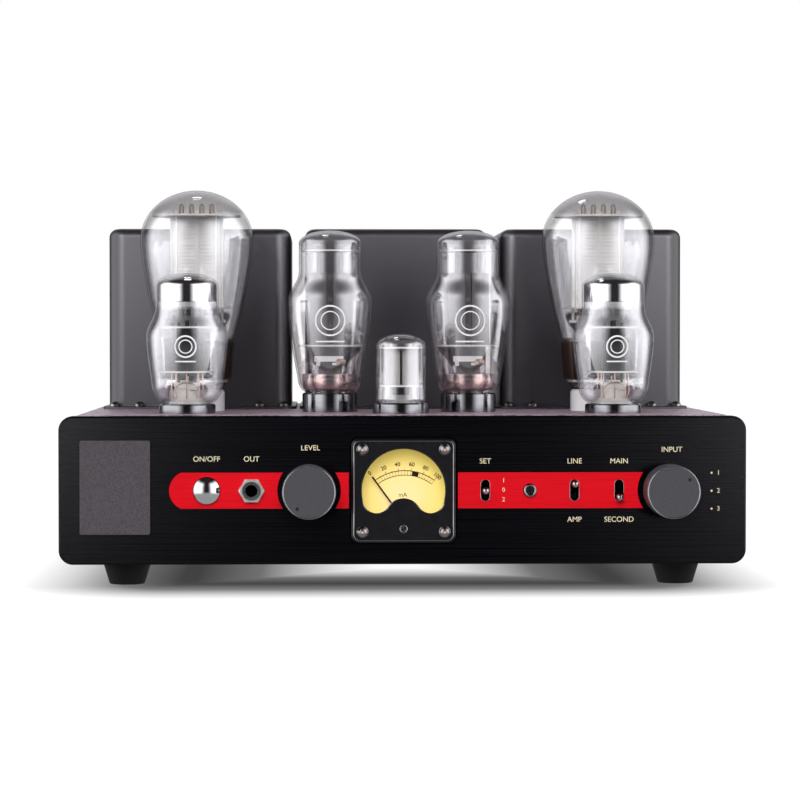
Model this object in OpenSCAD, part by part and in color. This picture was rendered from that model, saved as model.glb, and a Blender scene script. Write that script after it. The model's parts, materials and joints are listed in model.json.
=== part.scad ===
// Tube integrated amplifier: seven plug-in tubes and three transformer covers on a steel chassis,
// behind a thick front panel with knobs, toggles, a headphone jack and a bias meter.
// Millimetres, +X to the right, +Y to the rear, +Z up.
// Origin: on the surface the feet stand on, below the centre of the bounding box.

/* [Front panel] */
// How far the front panel stands out beyond the chassis on each side
panel_overhang = 7.5; // [4:0.1:16]
// Height of the front panel
panel_h = 77.6; // [74:0.2:90]
// Thickness of the front panel
panel_t = 10; // [8:0.5:14]
// Corner radius of the front panel
panel_r = 7.5; // [3:0.5:12]
// Chamfer around the panel's front edge
panel_edge = 1; // [0.4:0.1:2]
// Height of the row of controls above the panel's lower edge
control_h = 38.7; // [36:0.1:42]

/* [Accent strip and badge] */
// Height of the red strip
strip_h = 18.8; // [14:0.2:24]
// Gap between the strip's left end and the badge plate
strip_gap = 9.85; // [4:0.05:16]
// Radius of the strip's rounded left end
strip_end_r = 10.2; // [9.6:0.1:20]
// Thickness of the strip
strip_t = 1.5; // [1:0.1:2.5]
// How far the strip stands proud of the panel
strip_proud = 0.5; // [0.2:0.1:0.8]
// Width of the badge plate
badge_w = 36.6; // [30:0.1:42]
// Height of the badge plate
badge_h = 49; // [40:0.1:60]
// Thickness of the badge plate
badge_t = 1.6; // [0.8:0.1:3]
// Distance of the badge plate from the panel's left end
badge_margin = 11.2; // [8:0.05:14]
// Height of the badge plate's centre above the row of controls
badge_rise = 1.7; // [-2:0.1:4]

/* [Chassis] */
// Depth of the deck behind the covers' flanges
rear_margin = 20; // [16:1:60]
// Width of the deck beside the outer covers' flanges
side_margin = 5.5; // [3:0.1:20]
// Sheet thickness of the walls and the bottom plate
sheet_t = 2; // [1.2:0.1:3]
// Thickness of the deck that carries the tubes
deck_t = 3; // [2:0.1:4]
// How far the deck stands above the panel's upper edge
deck_rise = 0.2; // [0:0.1:3]
// Radius of the chassis' vertical corners
chassis_r = 4; // [2:0.5:8]
// Height of the feet
foot_h = 12; // [8:0.5:20]
// Radius of a foot at its top
foot_top_r = 13; // [9:0.5:16]
// Radius of a foot at the floor
foot_low_r = 9.5; // [6:0.5:14]
// Distance of the feet from the chassis' sides
foot_side = 26.5; // [20:0.1:50]
// Distance of the feet from the chassis' front and rear faces
foot_inset = 18; // [16:1:40]

/* [Transformer covers] */
// Width of a cover
cover_w = 104; // [96:0.5:106]
// Depth of a cover
cover_d = 110; // [90:1:112]
// Height of a cover above the deck
cover_h = 102.8; // [90:0.2:120]
// Gap between the power tubes' bulbs and the covers
bulb_gap = 6.6; // [3:0.1:20]
// Gap between the flanges of neighbouring covers
cover_gap = 2; // [1:0.1:8]
// Radius of a cover's vertical corners
cover_r = 9.5; // [6:0.5:14]
// Radius of a cover's upper edges
cover_edge_r = 5; // [2:0.5:5.5]
// Sheet thickness of a cover and its flange
cover_t = 1.6; // [1:0.1:2.4]
// Width of the flange in front of and behind a cover
flange_d = 8; // [7:0.5:10]
// Width of the flange beside a cover
flange_w = 3; // [1:0.1:3.4]
// Distances of the flange screws from a cover's middle line
flange_screw_x = 34.3; // [28:0.1:40]
// Width of a transformer core
core_w = 84; // [72:1:90]
// Depth of a transformer core
core_d = 64; // [50:1:70]
// Height of a transformer core
core_h = 72; // [60:1:80]

/* [Power tubes] */
// Distance of the power tubes behind the front tubes
power_back = 54; // [52:0.5:70]
// Largest radius of the power tubes' bulb
power_bulb_r = 31.4; // [28:0.1:32]
// Height of the bulb's widest ring above the deck
power_wide_h = 95; // [84:0.5:100]
// Height of the power tubes' top above the deck
power_top_h = 122.5; // [118:0.5:130]
// Radius of the power tubes' base at its upper rim
power_base_r = 20.7; // [18:0.1:23]
// Height of the power tubes' base
power_base_h = 26.7; // [22:0.1:30]
// Radius of the ceramic socket
power_socket_r = 15.4; // [14.5:0.1:17.5]
// Height of the ceramic socket above the deck
power_socket_h = 12; // [8:0.5:14]
// Height of the power tubes' lower mica disc above the deck
power_cage_h = 57; // [54:0.5:62]

/* [Middle tubes] */
// Distance of the middle tubes from the middle
middle_x = 38; // [34:0.5:42]
// Distance of the middle tubes behind the front tubes
middle_back = 30; // [24:0.5:36]
// Largest radius of the middle tubes' bulb
middle_bulb_r = 23.4; // [21:0.1:25]
// Radius of the bulb's upper cylinder
middle_top_r = 17.1; // [16:0.1:20]
// Height of the bulb's widest ring above the deck
middle_belly_h = 60; // [56:0.5:64]
// Height of the middle tubes' top above the deck
middle_top_h = 99.5; // [95:0.5:110]
// Height of the collar round the middle tubes' foot
middle_collar_h = 10.5; // [8:0.5:13]
// Height of the middle tubes' lower mica disc above the deck
middle_cage_h = 36; // [30:0.5:40]

/* [Front tubes] */
// How far the front tubes stand outside the power tubes
front_out = 3; // [0:0.5:8]
// Distance of the front tubes behind the panel's front face
front_d = 50; // [46:0.5:54]
// Largest radius of the front tubes' bulb
front_bulb_r = 22.1; // [20:0.1:24]
// Radius of the bulb's upper cylinder
front_top_r = 16.9; // [15.5:0.1:18]
// Height of the bulb's widest ring above the deck
front_belly_h = 41; // [38:0.5:44]
// Height of the front tubes' top above the deck
front_top_h = 75.5; // [70:0.5:80]
// Height of the collar round the front tubes' foot
front_collar_h = 5.2; // [4:0.2:7]
// Height of the front tubes' lower mica disc above the deck
front_cage_h = 22; // [19:0.5:26]

/* [Centre tube] */
// Distance of the centre tube before the front tubes
center_fore = 4; // [0:0.5:5]
// Radius of the centre tube's bulb at its foot
center_bulb_r = 13.7; // [13.2:0.1:15]
// Height of the centre tube's top above the deck
center_top_h = 43; // [40:0.2:50]
// Height of the collar round the centre tube's foot
center_collar_h = 5.8; // [4:0.2:7]
// Height of the centre tube's lower mica disc above the deck
center_cage_h = 14.5; // [13:0.5:18]

/* [Tube details] */
// Thickness of the glass
glass_t = 1; // [0.8:0.1:1.2]
// Radius of the chrome collar round a tube's foot
collar_r = 15.2; // [14.6:0.1:16.5]
// Radius of the spigot that goes through the deck
spigot_r = 13.2; // [13:0.1:14]
// Radius of a tube's neck inside its collar
neck_r = 12; // [11.5:0.1:12]
// Radius of a contact pin
pin_r = 1.2; // [1:0.05:1.4]
// Circle radius of the eight contact pins
pin_ring_r = 8.7; // [8:0.1:9.5]
// Thickness of a mica disc
mica_t = 0.6; // [0.4:0.1:1]
// Radius of a support rod
rod_r = 0.8; // [0.5:0.1:1]

/* [Controls] */
// Radius of the two knobs
knob_r = 13.9; // [12:0.1:15.5]
// Length of the two knobs
knob_h = 21; // [19:0.5:26]
// Gap between a knob and the panel
knob_gap = 1; // [0.6:0.1:2]
// Radius of the round clearing that the strip leaves about a knob
knob_clear_r = 16.6; // [15.8:0.1:18]
// Place of the volume knob to the left, as a share of the panel's half width
volume_share = 0.274; // [0.26:0.001:0.28]
// Place of the headphone jack to the left, as a share of the panel's half width
jack_share = 0.441; // [0.43:0.001:0.46]
// Place of the bias toggle to the right, as a share of the panel's half width
bias_share = 0.238; // [0.23:0.001:0.25]
// Place of the selector knob to the right, as a share of the panel's half width
selector_share = 0.774; // [0.77:0.001:0.8]
// Distance between neighbouring small controls, as a share of the panel's half width
pitch_share = 0.13; // [0.12:0.0005:0.14]
// Radius of the knob shafts
shaft_r = 3; // [2.5:0.05:3.2]
// Radius of the threaded bushes of volume control and selector
bush_r = 4.5; // [4.2:0.1:5]
// Radius of the volume control's can
pot_r = 12; // [9:0.5:13]
// Depth of the volume control's can
pot_d = 20; // [16:1:24]
// Radius of the selector's wafer stack
wafer_r = 13; // [10:0.5:13.5]
// Depth of the selector's wafer stack
wafer_d = 28; // [20:1:32]
// Radius of the power button
button_r = 6.9; // [5:0.1:7.5]
// Height of the button's domed top above the panel
button_h = 5.5; // [4.5:0.1:8]
// Travel of the power button
button_travel = 3; // [1:0.5:3.5]
// Radius of the jack's bore
jack_bore_r = 3.2; // [3.15:0.05:3.3]
// Radius of the jack's threaded bush
jack_bush_r = 4.75; // [4.4:0.05:5]
// Width across flats of the jack's hexagon nut
jack_nut_af = 11.8; // [11:0.1:13]
// Swing of a toggle lever to each side
toggle_swing = 9; // [6:0.5:10]
// Radius of a toggle lever's tip
toggle_tip_r = 1.9; // [1.4:0.1:2]
// How far a toggle lever stands out of the panel
toggle_reach = 8; // [5:0.5:10]
// Width of a toggle's slot
slot_w = 4.6; // [4.5:0.1:5.5]
// Height of a toggle's slot
slot_h = 11; // [10.6:0.1:13]
// Radius of the trimmer's threaded bush
trim_bush_r = 3.3; // [3:0.1:4]
// Radius of the trimmer's slotted shaft
trim_shaft_r = 2.2; // [1.8:0.1:2.4]

/* [Meter] */
// Side of the square meter bezel
bezel_w = 54.5; // [53:0.1:57]
// Corner radius of the bezel
bezel_r = 4; // [2:0.2:6]
// How far the bezel stands proud of the panel
bezel_proud = 3; // [2:0.2:5]
// Chamfer around the bezel's front edge
bezel_edge = 1.2; // [0.6:0.1:1.8]
// Depth of the panel's pocket for the bezel
pocket_d = 4; // [3:0.2:5]
// Distance between the bezel's screws
bezel_screw_pitch = 43; // [42:0.1:45]
// Radius of the window's round part
window_r = 22.2; // [20:0.1:22.6]
// Radius of the two lobes at the window's foot
lobe_r = 7.6; // [6:0.1:8.5]
// Drop of the lobes' centres below the row of controls
lobe_drop = 4.6; // [3:0.1:6]
// Drop of the centre of the hump between the lobes
hump_drop = 13.5; // [12:0.1:15]
// Radius of the meter's can
case_r = 24.4; // [24:0.1:24.8]
// Depth of the meter's can behind the panel's front face
case_d = 26; // [24:0.5:28]
// Drop of the needle's pivot below the row of controls
pivot_drop = 15.5; // [14:0.1:16]
// Length of the needle from its pivot
needle_len = 27.5; // [24:0.5:30]
// Angle of the resting needle, left of upright
needle_rest = 36; // [25:1:38]
// Drop of the zero screw below the row of controls
zero_drop = 20; // [19:0.1:20.4]
// Radius of the zero screw
zero_r = 2.3; // [1.8:0.1:2.6]

/* [Rear sockets] */
// Distance of the mains inlet's centre from the chassis' side
inlet_margin = 52.5; // [40:0.5:70]
// Distance of the first column of input jacks from the chassis' side
input_margin = 22.5; // [20:0.5:32]
// Spacing of the input jacks' columns
input_pitch_x = 17; // [14:0.5:20]
// Spacing of the input jacks' rows
input_pitch_z = 20; // [15:0.5:26]
// Radius of an input jack's barrel
input_barrel_r = 4.15; // [4:0.05:4.2]
// Length of an input jack's barrel
input_barrel_len = 8.5; // [7:0.5:10]
// Distances of the speaker terminals from the middle
post_x = [28, 52]; // [20:1:60]
// Radius of a speaker terminal's cap
post_r = 6.5; // [5:0.1:8]
// How far a speaker terminal reaches behind the rear wall
post_reach = 26; // [22:0.5:32]
// Radius of the plug bore in a speaker terminal
post_bore_r = 2.05; // [2:0.05:2.2]
// Depth of the plug bore in a speaker terminal
post_bore_d = 15; // [12:0.5:18]

/* [Inside] */
// Width of the circuit board
board_w = 210; // [180:1:240]
// Depth of the circuit board
board_d = 112; // [90:1:116]
// Height of the circuit board above the bottom plate
board_rise = 9; // [6:0.5:14]
// Radius of a filter capacitor
can_r = 17.5; // [12:0.5:20]
// Height of a filter capacitor
can_h = 46; // [36:0.5:48]

/* [Hidden] */
$fn = 64;
// Clearances
running_gap = 0.05;
bush_gap = 0.3;
slide_gap = 0.3;
seat_gap = 0.15;
meter_gap = 0.8;
pin_gap = 0.12;
hole_gap = 0.3;
mica_gap = 0.5;
through = 1;

// Heights
bottom_z = foot_h + sheet_t;
panel_top_z = foot_h + panel_h;
deck_z = panel_top_z + deck_rise;
deck_low_z = deck_z - deck_t;
axis_z = foot_h + control_h;

// Widths
cover_pitch = cover_w + 2 * flange_w + cover_gap;
chassis_w = 2 * cover_pitch + cover_w + 2 * (flange_w + side_margin);
panel_w = chassis_w + 2 * panel_overhang;
badge_x = panel_w / 2 - badge_margin - badge_w / 2;
strip_left = badge_x - badge_w / 2 - strip_gap;
power_x = cover_pitch;
front_x = power_x + front_out;
foot_x = chassis_w / 2 - foot_side;
inlet_x = chassis_w / 2 - inlet_margin;
input_x = chassis_w / 2 - input_margin;

// Controls in their row
control_pitch = pitch_share * panel_w / 2;
volume_x = volume_share * panel_w / 2;
jack_x = jack_share * panel_w / 2;
power_button_x = jack_x + control_pitch;
bias_toggle_x = bias_share * panel_w / 2;
trim_x = bias_toggle_x + control_pitch;
mode_toggle_x = trim_x + control_pitch;
output_toggle_x = mode_toggle_x + control_pitch;
selector_x = selector_share * panel_w / 2;

// Depths along Y; at() takes a distance behind the panel's front face
power_d = front_d + power_back;
middle_d = front_d + middle_back;
center_d = front_d - center_fore;
cover_front = power_d + power_bulb_r + bulb_gap;
body_d = cover_front + cover_d + flange_d + rear_margin;
knob_reach = knob_gap + knob_h;
front_y = (knob_reach - body_d - post_reach) / 2;
function at(d) = front_y + d;
wall_d = panel_t + sheet_t;

// Screws
screw_r = 1.5;
screw_head_r = 2.85;
screw_head_h = 2.4;
screw_socket_r = 1.15;
screw_gap = 0.15;
cover_screw_len = cover_t + deck_t + 2;
chassis_screw_len = 8;
sunk_h = 1.4;
post_side = 9;

// Octal seat below the deck
seat_drop = 6.5;
seat_z = deck_low_z - seat_drop;
cup_floor = 3;
socket_lip = 3.8;
socket_flange_r = collar_r + socket_lip;
socket_flange_t = 3;
socket_wall = 1.6;
socket_body_r = spigot_r + socket_wall;
pin_len = 9;
socket_floor = 2;
socket_low_z = seat_z - pin_len - socket_floor;
octal_pins = 8;
power_pins = 4;
power_pin_r = 1.9;
power_pin_ring_r = 8.2;
power_pin_len = 13;
power_neck_r = power_base_r - 2.4;
power_spigot_r = power_pin_ring_r + power_pin_r + 1.4;
power_floor = 4;

// Covers
cover_xs = [-cover_pitch, 0, cover_pitch];
cover_mid_d = cover_front + cover_d / 2;
flange_screw_d = (cover_d + flange_d) / 2 + 0.2;
cover_corner_x = cover_w / 2 - 4;
cover_screw_xs = [-cover_corner_x, -flange_screw_x, flange_screw_x, cover_corner_x];
limb_w = core_w / 3;
window_w = core_w / 6;
winding_gap = 0.5;
winding_wall = 12;
wire_hole_r = 6;

// Toggles
pivot_d = wall_d + 4;
ball_r = 2.9;
lever_root_r = 1.3;
toggle_body = [11, 20, 16];

// Control bushes
nut_t = 2;
bush_reach = 3;
knob_bore_d = 14;
knob_recess_d = 4.5;
knob_recess_r = 9;
knob_edge = 0.9;
dot_r = 0.9;
dot_ring_r = 10.4;
dot_depth = 0.7;
volume_dot = 234;
selector_dot = 38;
shaft_inside = 14;
shaft_end_d = wall_d + shaft_inside;
stem_r = 3;
trim_reach = 1.6;
trim_pot = [10, 12, 11];

// Meter
lens_t = 1.5;
lens_r = window_r + 1;
dial_d = 12;
dial_t = 1;
needle_d = 8;
staff_r = 0.6;
hub_r = 1.8;
case_t = 1.3;
movement = [16, 16];

// Rear sockets
rear_d = body_d;
input_columns = 4;
input_flange_r = 6.4;
input_body_r = 5;
input_inside = 12;
input_core_r = 1.65;
inlet_mouth = [24.6, 16.4];
inlet_shell = 1.6;
inlet_depth = 19;
inlet_flange = [50, 24, 2.5];
blade = [2, 14, 4];
blade_pitch = 14;
blade_offset = 2;
post_collar_r = 7.5;
post_collar_t = 5;
post_neck_r = 4;
post_stud_r = 3;
post_inside = 14;

// Inside
board_t = 1.6;
board_back_gap = 10;
standoff_r = 3;
board_inset = 6;
can_pitch = board_w * 5 / 21;
can_xs = [-1.5, -0.5, 0.5, 1.5] * can_pitch;

// Front and rear panel screws
panel_screw_x = chassis_w / 2 - sheet_t - post_side / 2;
panel_screw_zs = [bottom_z + post_side, deck_low_z - post_side];
panel_screw_hole = 6;
rear_screw_x = chassis_w / 2 - sheet_t - post_side + 3;
rear_screw_len = sheet_t + 7;

// Bottom plate and feet
vent_count = 9;
vent_pitch = 9;
vent_len = 60;
vent_w = 4;
foot_edge = 0.5;

// Curved edges
edge_steps = 4;
collar_edge = 0.8;
socket_round = 2.2;
power_chamfer = 5;

// Needle and zero screw
needle_w = 0.9;
needle_t = 0.5;
needle_tail = 4;
zero_slot_w = 0.8;
zero_slot_d = 0.7;
zero_lift = 0.4;

// Switch bodies
wafer_count = 2;
wafer_t = 3;
spacer_r = 7;
button_skirt_d = 6;
button_stem_len = 14;
switch_size = [18, 30, 18];
jack_body = [17, 30, 17];
jack_nut_t = 2.6;
jack_lip = 1.2;
jack_front = strip_proud + jack_nut_t + jack_lip;
trim_slot_w = 0.9;
trim_slot_d = 0.8;

// Tube seats and outlines
bulb_low_h = 18.5;
shoulder_h = 17;
dome_h = 7;
middle_flare = 5.6;
front_flare = 2.6;
power_foot_z = deck_z + power_socket_h + power_base_h;
power_outline = bulb_outline(power_neck_r, power_foot_z + 0.1, [power_base_r + 0.4, power_foot_z + 2.5],
    [power_bulb_r, deck_z + power_wide_h], [power_bulb_r, deck_z + power_wide_h],
    power_top_h - power_wide_h, deck_z + power_top_h);
middle_outline = bulb_outline(neck_r, deck_z + middle_collar_h + 0.1,
    [middle_bulb_r - middle_flare, deck_z + bulb_low_h], [middle_bulb_r, deck_z + middle_belly_h],
    [middle_top_r, deck_z + middle_belly_h + shoulder_h], dome_h, deck_z + middle_top_h);
front_outline = bulb_outline(neck_r, deck_z + front_collar_h + 0.1,
    [front_bulb_r - front_flare, deck_z + bulb_low_h], [front_bulb_r, deck_z + front_belly_h],
    [front_top_r, deck_z + front_belly_h + shoulder_h], dome_h, deck_z + front_top_h);
center_taper = 0.2;
center_low_z = deck_z + center_collar_h + 1.8;
center_outline = bulb_outline(neck_r, deck_z + center_collar_h + 0.1, [center_bulb_r, center_low_z],
    [center_bulb_r, center_low_z + 2], [center_bulb_r - center_taper, deck_z + center_top_h - dome_h - 1],
    dome_h, deck_z + center_top_h);
power_neck_z = deck_z + power_socket_h + power_floor + 0.2;
octal_neck_z = seat_z + cup_floor + 0.2;
power_socket_low_z = deck_low_z - 8;

// Electrode spacing
power_side_x = 0.445 * power_bulb_r;
power_wire_xs = [-3, -1, 1, 3] * power_side_x * 0.203;
power_mica_rise = 13;
hook_h = 6;
middle_plate = [0.55, 0.76] * middle_top_r;
middle_plate_drop = 12;
middle_plate_x = 0.386 * middle_top_r;
front_plate = [0.614, 0.552] * front_top_r;
front_plate_y = 0.4 * front_top_r;
center_plate = [0.657, 0.803] * center_bulb_r;
center_plate_x = 0.38 * center_bulb_r;
stem_below_cage = [8, 6, 4.5];

// Circuit board
board_front_d = rear_d - sheet_t - board_back_gap - board_d;
board_mid_y = at(board_front_d + board_d / 2);
board_z = bottom_z + board_rise;
can_margin = 12;
can_d = board_front_d + board_d - can_r - can_margin;
resistor_rows = 4;
resistor_r = 2.2;
resistor_len = 12;
resistor_x = board_w * 2 / 7;
resistor_pitch = 9;
resistor_margin = 12;

// Flat shapes

module rounded_rect(w, h, r) {
    square([w - 2 * r, h], center = true);
    square([w, h - 2 * r], center = true);
    for (sx = [-1, 1], sz = [-1, 1]) {
        translate([sx * (w / 2 - r), sz * (h / 2 - r)]) circle(r);
    }
}

module upright_slot(w, h) {
    square([w, h - w], center = true);
    for (s = [-1, 1]) {
        translate([0, s * (h - w) / 2]) circle(w / 2);
    }
}

// Placing helpers

// Extrudes a flat shape drawn in X and Z from depth d over thickness t to the rear
module face_plate(d, t) {
    translate([0, at(d) + t, 0]) rotate([90, 0, 0]) linear_extrude(t) children();
}

// Puts a piece drawn about +Z on an axis along Y, with its +Z to the front
module facing(x, d, z) {
    translate([x, at(d), z]) rotate([90, 0, 0]) children();
}

// Round bar along Y from depth d0 to depth d1
module bar(x, z, d0, d1, r) {
    translate([x, at(d0), z]) rotate([-90, 0, 0]) cylinder(r = r, h = d1 - d0);
}

// Round rod along Z
module rod(x, y, z0, z1, r) {
    translate([x, y, z0]) cylinder(r = r, h = z1 - z0);
}

module block(x, y, z0, w, d, h) {
    translate([x - w / 2, y - d / 2, z0]) cube([w, d, h]);
}

// Domed screw head with a hexagon socket on a plain shank, its seat at z = 0
module button_screw(shank) {
    difference() {
        union() {
            rotate_extrude() intersection() {
                translate([0, screw_head_h - screw_head_r]) circle(screw_head_r * 1.16);
                square([screw_head_r, screw_head_h * 2]);
            }
            translate([0, 0, -shank]) cylinder(r = screw_r, h = shank + 0.5);
        }
        translate([0, 0, screw_head_h * 0.45]) cylinder(r = screw_socket_r, h = screw_head_h * 2, $fn = 6);
    }
}

// Flat screw sunk into a sheet, its face at z = 0 and its shank along -Z
module sunk_screw(shank) {
    difference() {
        union() {
            translate([0, 0, -sunk_h]) cylinder(r1 = screw_r, r2 = screw_head_r, h = sunk_h);
            translate([0, 0, -shank]) cylinder(r = screw_r, h = shank - sunk_h / 2);
        }
        translate([0, 0, -sunk_h * 0.7]) cylinder(r = screw_socket_r, h = sunk_h, $fn = 6);
    }
}

// Front panel and what lies on it

module panel_outline(inset) {
    translate([0, foot_h + panel_h / 2]) {
        rounded_rect(panel_w - 2 * inset, panel_h - 2 * inset, panel_r - inset);
    }
}

module strip_outline(grow) {
    end_x = -strip_left + strip_end_r;
    translate([0, axis_z]) difference() {
        union() {
            translate([end_x, -strip_h / 2 - grow]) square([selector_x - end_x, strip_h + 2 * grow]);
            intersection() {
                translate([end_x, 0]) circle(strip_end_r + grow);
                translate([end_x - 2 * strip_end_r, -strip_h / 2 - grow]) {
                    square([2 * strip_end_r + through, strip_h + 2 * grow]);
                }
            }
        }
        for (x = [-volume_x, selector_x]) {
            translate([x, 0]) circle(knob_clear_r - grow);
        }
        square(bezel_w + 2 * meter_gap + 1 - 2 * grow, center = true);
    }
}

// Openings that run through strip, panel and front wall
module control_openings() {
    span = [-2 - strip_proud, wall_d + through];
    bar(-power_button_x, axis_z, span[0], span[1], button_r + slide_gap);
    bar(-jack_x, axis_z, span[0], span[1], jack_bush_r + bush_gap);
    bar(trim_x, axis_z, span[0], span[1], trim_bush_r + bush_gap);
    for (x = [-volume_x, selector_x]) {
        bar(x, axis_z, span[0], span[1], bush_r + bush_gap);
    }
    face_plate(span[0], span[1] - span[0]) for (x = [bias_toggle_x, mode_toggle_x, output_toggle_x]) {
        translate([x, axis_z]) upright_slot(slot_w, slot_h);
    }
}

module bezel_screw_places() {
    for (sx = [-1, 1], sz = [-1, 1]) {
        translate([sx * bezel_screw_pitch / 2, 0, axis_z + sz * bezel_screw_pitch / 2]) children();
    }
}

module panel_screw_places() {
    for (sx = [-1, 1], z = panel_screw_zs) {
        translate([sx * panel_screw_x, 0, z]) children();
    }
}

module front_panel() {
    color([0.055, 0.055, 0.075]) difference() {
        hull() {
            face_plate(panel_edge, panel_t - panel_edge) panel_outline(0, $fn = 48);
            face_plate(0, panel_t) panel_outline(panel_edge, $fn = 48);
        }
        face_plate(-through, through + strip_t - strip_proud) strip_outline(seat_gap);
        face_plate(-through, through + pocket_d) translate([0, axis_z]) {
            rounded_rect(bezel_w + 2 * meter_gap, bezel_w + 2 * meter_gap, bezel_r + meter_gap);
        }
        bar(0, axis_z, 0, panel_t + through, case_r + seat_gap);
        control_openings();
        bezel_screw_places() bar(0, 0, 0, panel_t - 1, screw_r + screw_gap);
        panel_screw_places() bar(0, 0, panel_t - panel_screw_hole, panel_t + through, screw_r + screw_gap);
    }
}

module accent_strips() {
    color([0.91, 0.05, 0.09]) difference() {
        face_plate(-strip_proud, strip_t) strip_outline(0);
        control_openings();
    }
}

module badge_plate() {
    color([0.33, 0.31, 0.33]) face_plate(-badge_t, badge_t) {
        translate([-badge_x, axis_z + badge_rise]) rounded_rect(badge_w, badge_h, 1);
    }
}

// Chassis

module chassis_outline(inset) {
    depth = body_d - panel_t;
    translate([0, at(panel_t) + depth / 2]) {
        rounded_rect(chassis_w - 2 * inset, depth - 2 * inset, max(chassis_r - inset, 0.5));
    }
}

module corner_post_places() {
    x = chassis_w / 2 - sheet_t - post_side / 2;
    for (sx = [-1, 1], d = [wall_d + post_side / 2, rear_d - sheet_t - post_side / 2]) {
        translate([sx * x, at(d), 0]) children();
    }
}

module rear_openings() {
    for (x = input_xs(), sz = [-1, 1]) {
        bar(x, axis_z + sz * input_pitch_z / 2, rear_d - sheet_t - through, rear_d + through,
            input_body_r + hole_gap);
    }
    for (sx = [-1, 1], x = post_x) {
        bar(sx * x, axis_z, rear_d - sheet_t - through, rear_d + through, post_stud_r + hole_gap);
    }
    face_plate(rear_d - sheet_t - through, sheet_t + 2 * through) translate([inlet_x, axis_z]) {
        square(inlet_mouth + 2 * (inlet_shell + hole_gap) * [1, 1], center = true);
    }
}

module rear_screw_places() {
    for (sx = [-1, 1], z = panel_screw_zs) {
        translate([sx * rear_screw_x, 0, z]) children();
    }
}

// Plate between the rear corners, from the bottom plate to the deck
module rear_plate(gap, over) {
    w = chassis_w - 2 * (chassis_r + gap);
    translate([-w / 2, at(rear_d - sheet_t), bottom_z - over]) {
        cube([w, sheet_t + over, deck_low_z - bottom_z + 2 * over]);
    }
}

module chassis_frame() {
    height = deck_low_z - bottom_z;
    color([0.36, 0.31, 0.35]) difference() {
        union() {
            translate([0, 0, bottom_z]) linear_extrude(height) difference() {
                chassis_outline(0);
                chassis_outline(sheet_t);
            }
            corner_post_places() block(0, 0, bottom_z, post_side + 1, post_side + 1, height);
        }
        rear_plate(0, through);
        control_openings();
        bar(0, axis_z, panel_t - through, wall_d + through, case_r + seat_gap);
        rear_screw_places() {
            bar(0, 0, rear_d - rear_screw_len - 0.5, rear_d, screw_r + screw_gap);
        }
        corner_post_places() {
            rod(0, 0, bottom_z - through, foot_h + chassis_screw_len + 0.5, screw_r + screw_gap);
        }
        panel_screw_places() {
            bar(0, 0, panel_t - through, wall_d + post_side + 2, screw_r + screw_gap);
        }
    }
}

module rear_panel() {
    color([0.36, 0.31, 0.35]) difference() {
        rear_plate(seat_gap, 0);
        rear_openings();
        rear_screw_places() {
            bar(0, 0, rear_d - sheet_t - through, rear_d + through, screw_r + screw_gap);
        }
    }
}

module deck() {
    edge = deck_t / 2;
    color([0.6, 0.52, 0.58]) difference() {
        hull() {
            translate([0, 0, deck_low_z]) linear_extrude(deck_t - edge) chassis_outline(0, $fn = 32);
            translate([0, 0, deck_low_z]) linear_extrude(deck_t - edge * 0.3) {
                chassis_outline(edge * 0.3, $fn = 32);
            }
            translate([0, 0, deck_low_z]) linear_extrude(deck_t) chassis_outline(edge, $fn = 32);
        }
        for (p = octal_places()) {
            rod(p[0], p[1], deck_low_z - through, deck_z + through, spigot_r + hole_gap);
        }
        for (sx = [-1, 1]) {
            rod(sx * power_x, at(power_d), deck_low_z - through, deck_z + through, power_spigot_r + hole_gap);
        }
        cover_screw_places() rod(0, 0, -cover_screw_len - through, through, screw_r + screw_gap);
        for (x = cover_xs) {
            rod(x, at(cover_mid_d) - core_d / 2 - winding_wall, deck_low_z - through, deck_z + through,
                wire_hole_r);
        }
    }
}

module bottom_plate() {
    color([0.12, 0.12, 0.13]) difference() {
        translate([0, 0, foot_h]) linear_extrude(sheet_t) difference() {
            chassis_outline(0);
            for (sx = [-1, 1], i = [0 : vent_count - 1]) {
                translate([sx * (power_x - 40) + (i - (vent_count - 1) / 2) * vent_pitch, at(power_d)]) {
                    upright_slot(vent_w, vent_len);
                }
            }
        }
        corner_post_places() {
            rod(0, 0, foot_h - through, bottom_z + through, screw_r + screw_gap);
            translate([0, 0, foot_h]) {
                cylinder(r1 = screw_head_r + screw_gap, r2 = screw_r + screw_gap, h = sunk_h);
            }
        }
    }
}

module foot_places() {
    for (sx = [-1, 1], d = [panel_t + foot_inset, rear_d - foot_inset]) {
        translate([sx * foot_x, at(d), 0]) children();
    }
}

module feet() {
    color([0.09, 0.09, 0.095]) foot_places() rotate_extrude() {
        polygon([[0, 0], [foot_low_r - foot_edge, 0], [foot_low_r, foot_edge], [foot_top_r, foot_h],
            [0, foot_h]]);
    }
}

module chassis_screws() {
    color([0.6, 0.6, 0.62]) {
        corner_post_places() translate([0, 0, foot_h]) mirror([0, 0, 1]) {
            sunk_screw(chassis_screw_len);
        }
        panel_screw_places() translate([0, at(wall_d + post_side + 0.5), 0]) rotate([-90, 0, 0]) {
            button_screw(sheet_t + post_side + panel_screw_hole - 1);
        }
        rear_screw_places() translate([0, at(rear_d), 0]) rotate([-90, 0, 0]) {
            button_screw(rear_screw_len);
        }
    }
}

// Transformers and their covers

module cover_screw_places() {
    for (cx = cover_xs, x = cover_screw_xs, s = [-1, 1]) {
        translate([cx + x, at(cover_mid_d) + s * flange_screw_d, deck_z + cover_t]) children();
    }
}

module cover_slice(inset, z0, z1) {
    translate([0, 0, z0]) linear_extrude(z1 - z0) {
        rounded_rect(cover_w - 2 * inset, cover_d - 2 * inset, cover_r - inset, $fn = 48);
    }
}

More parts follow.
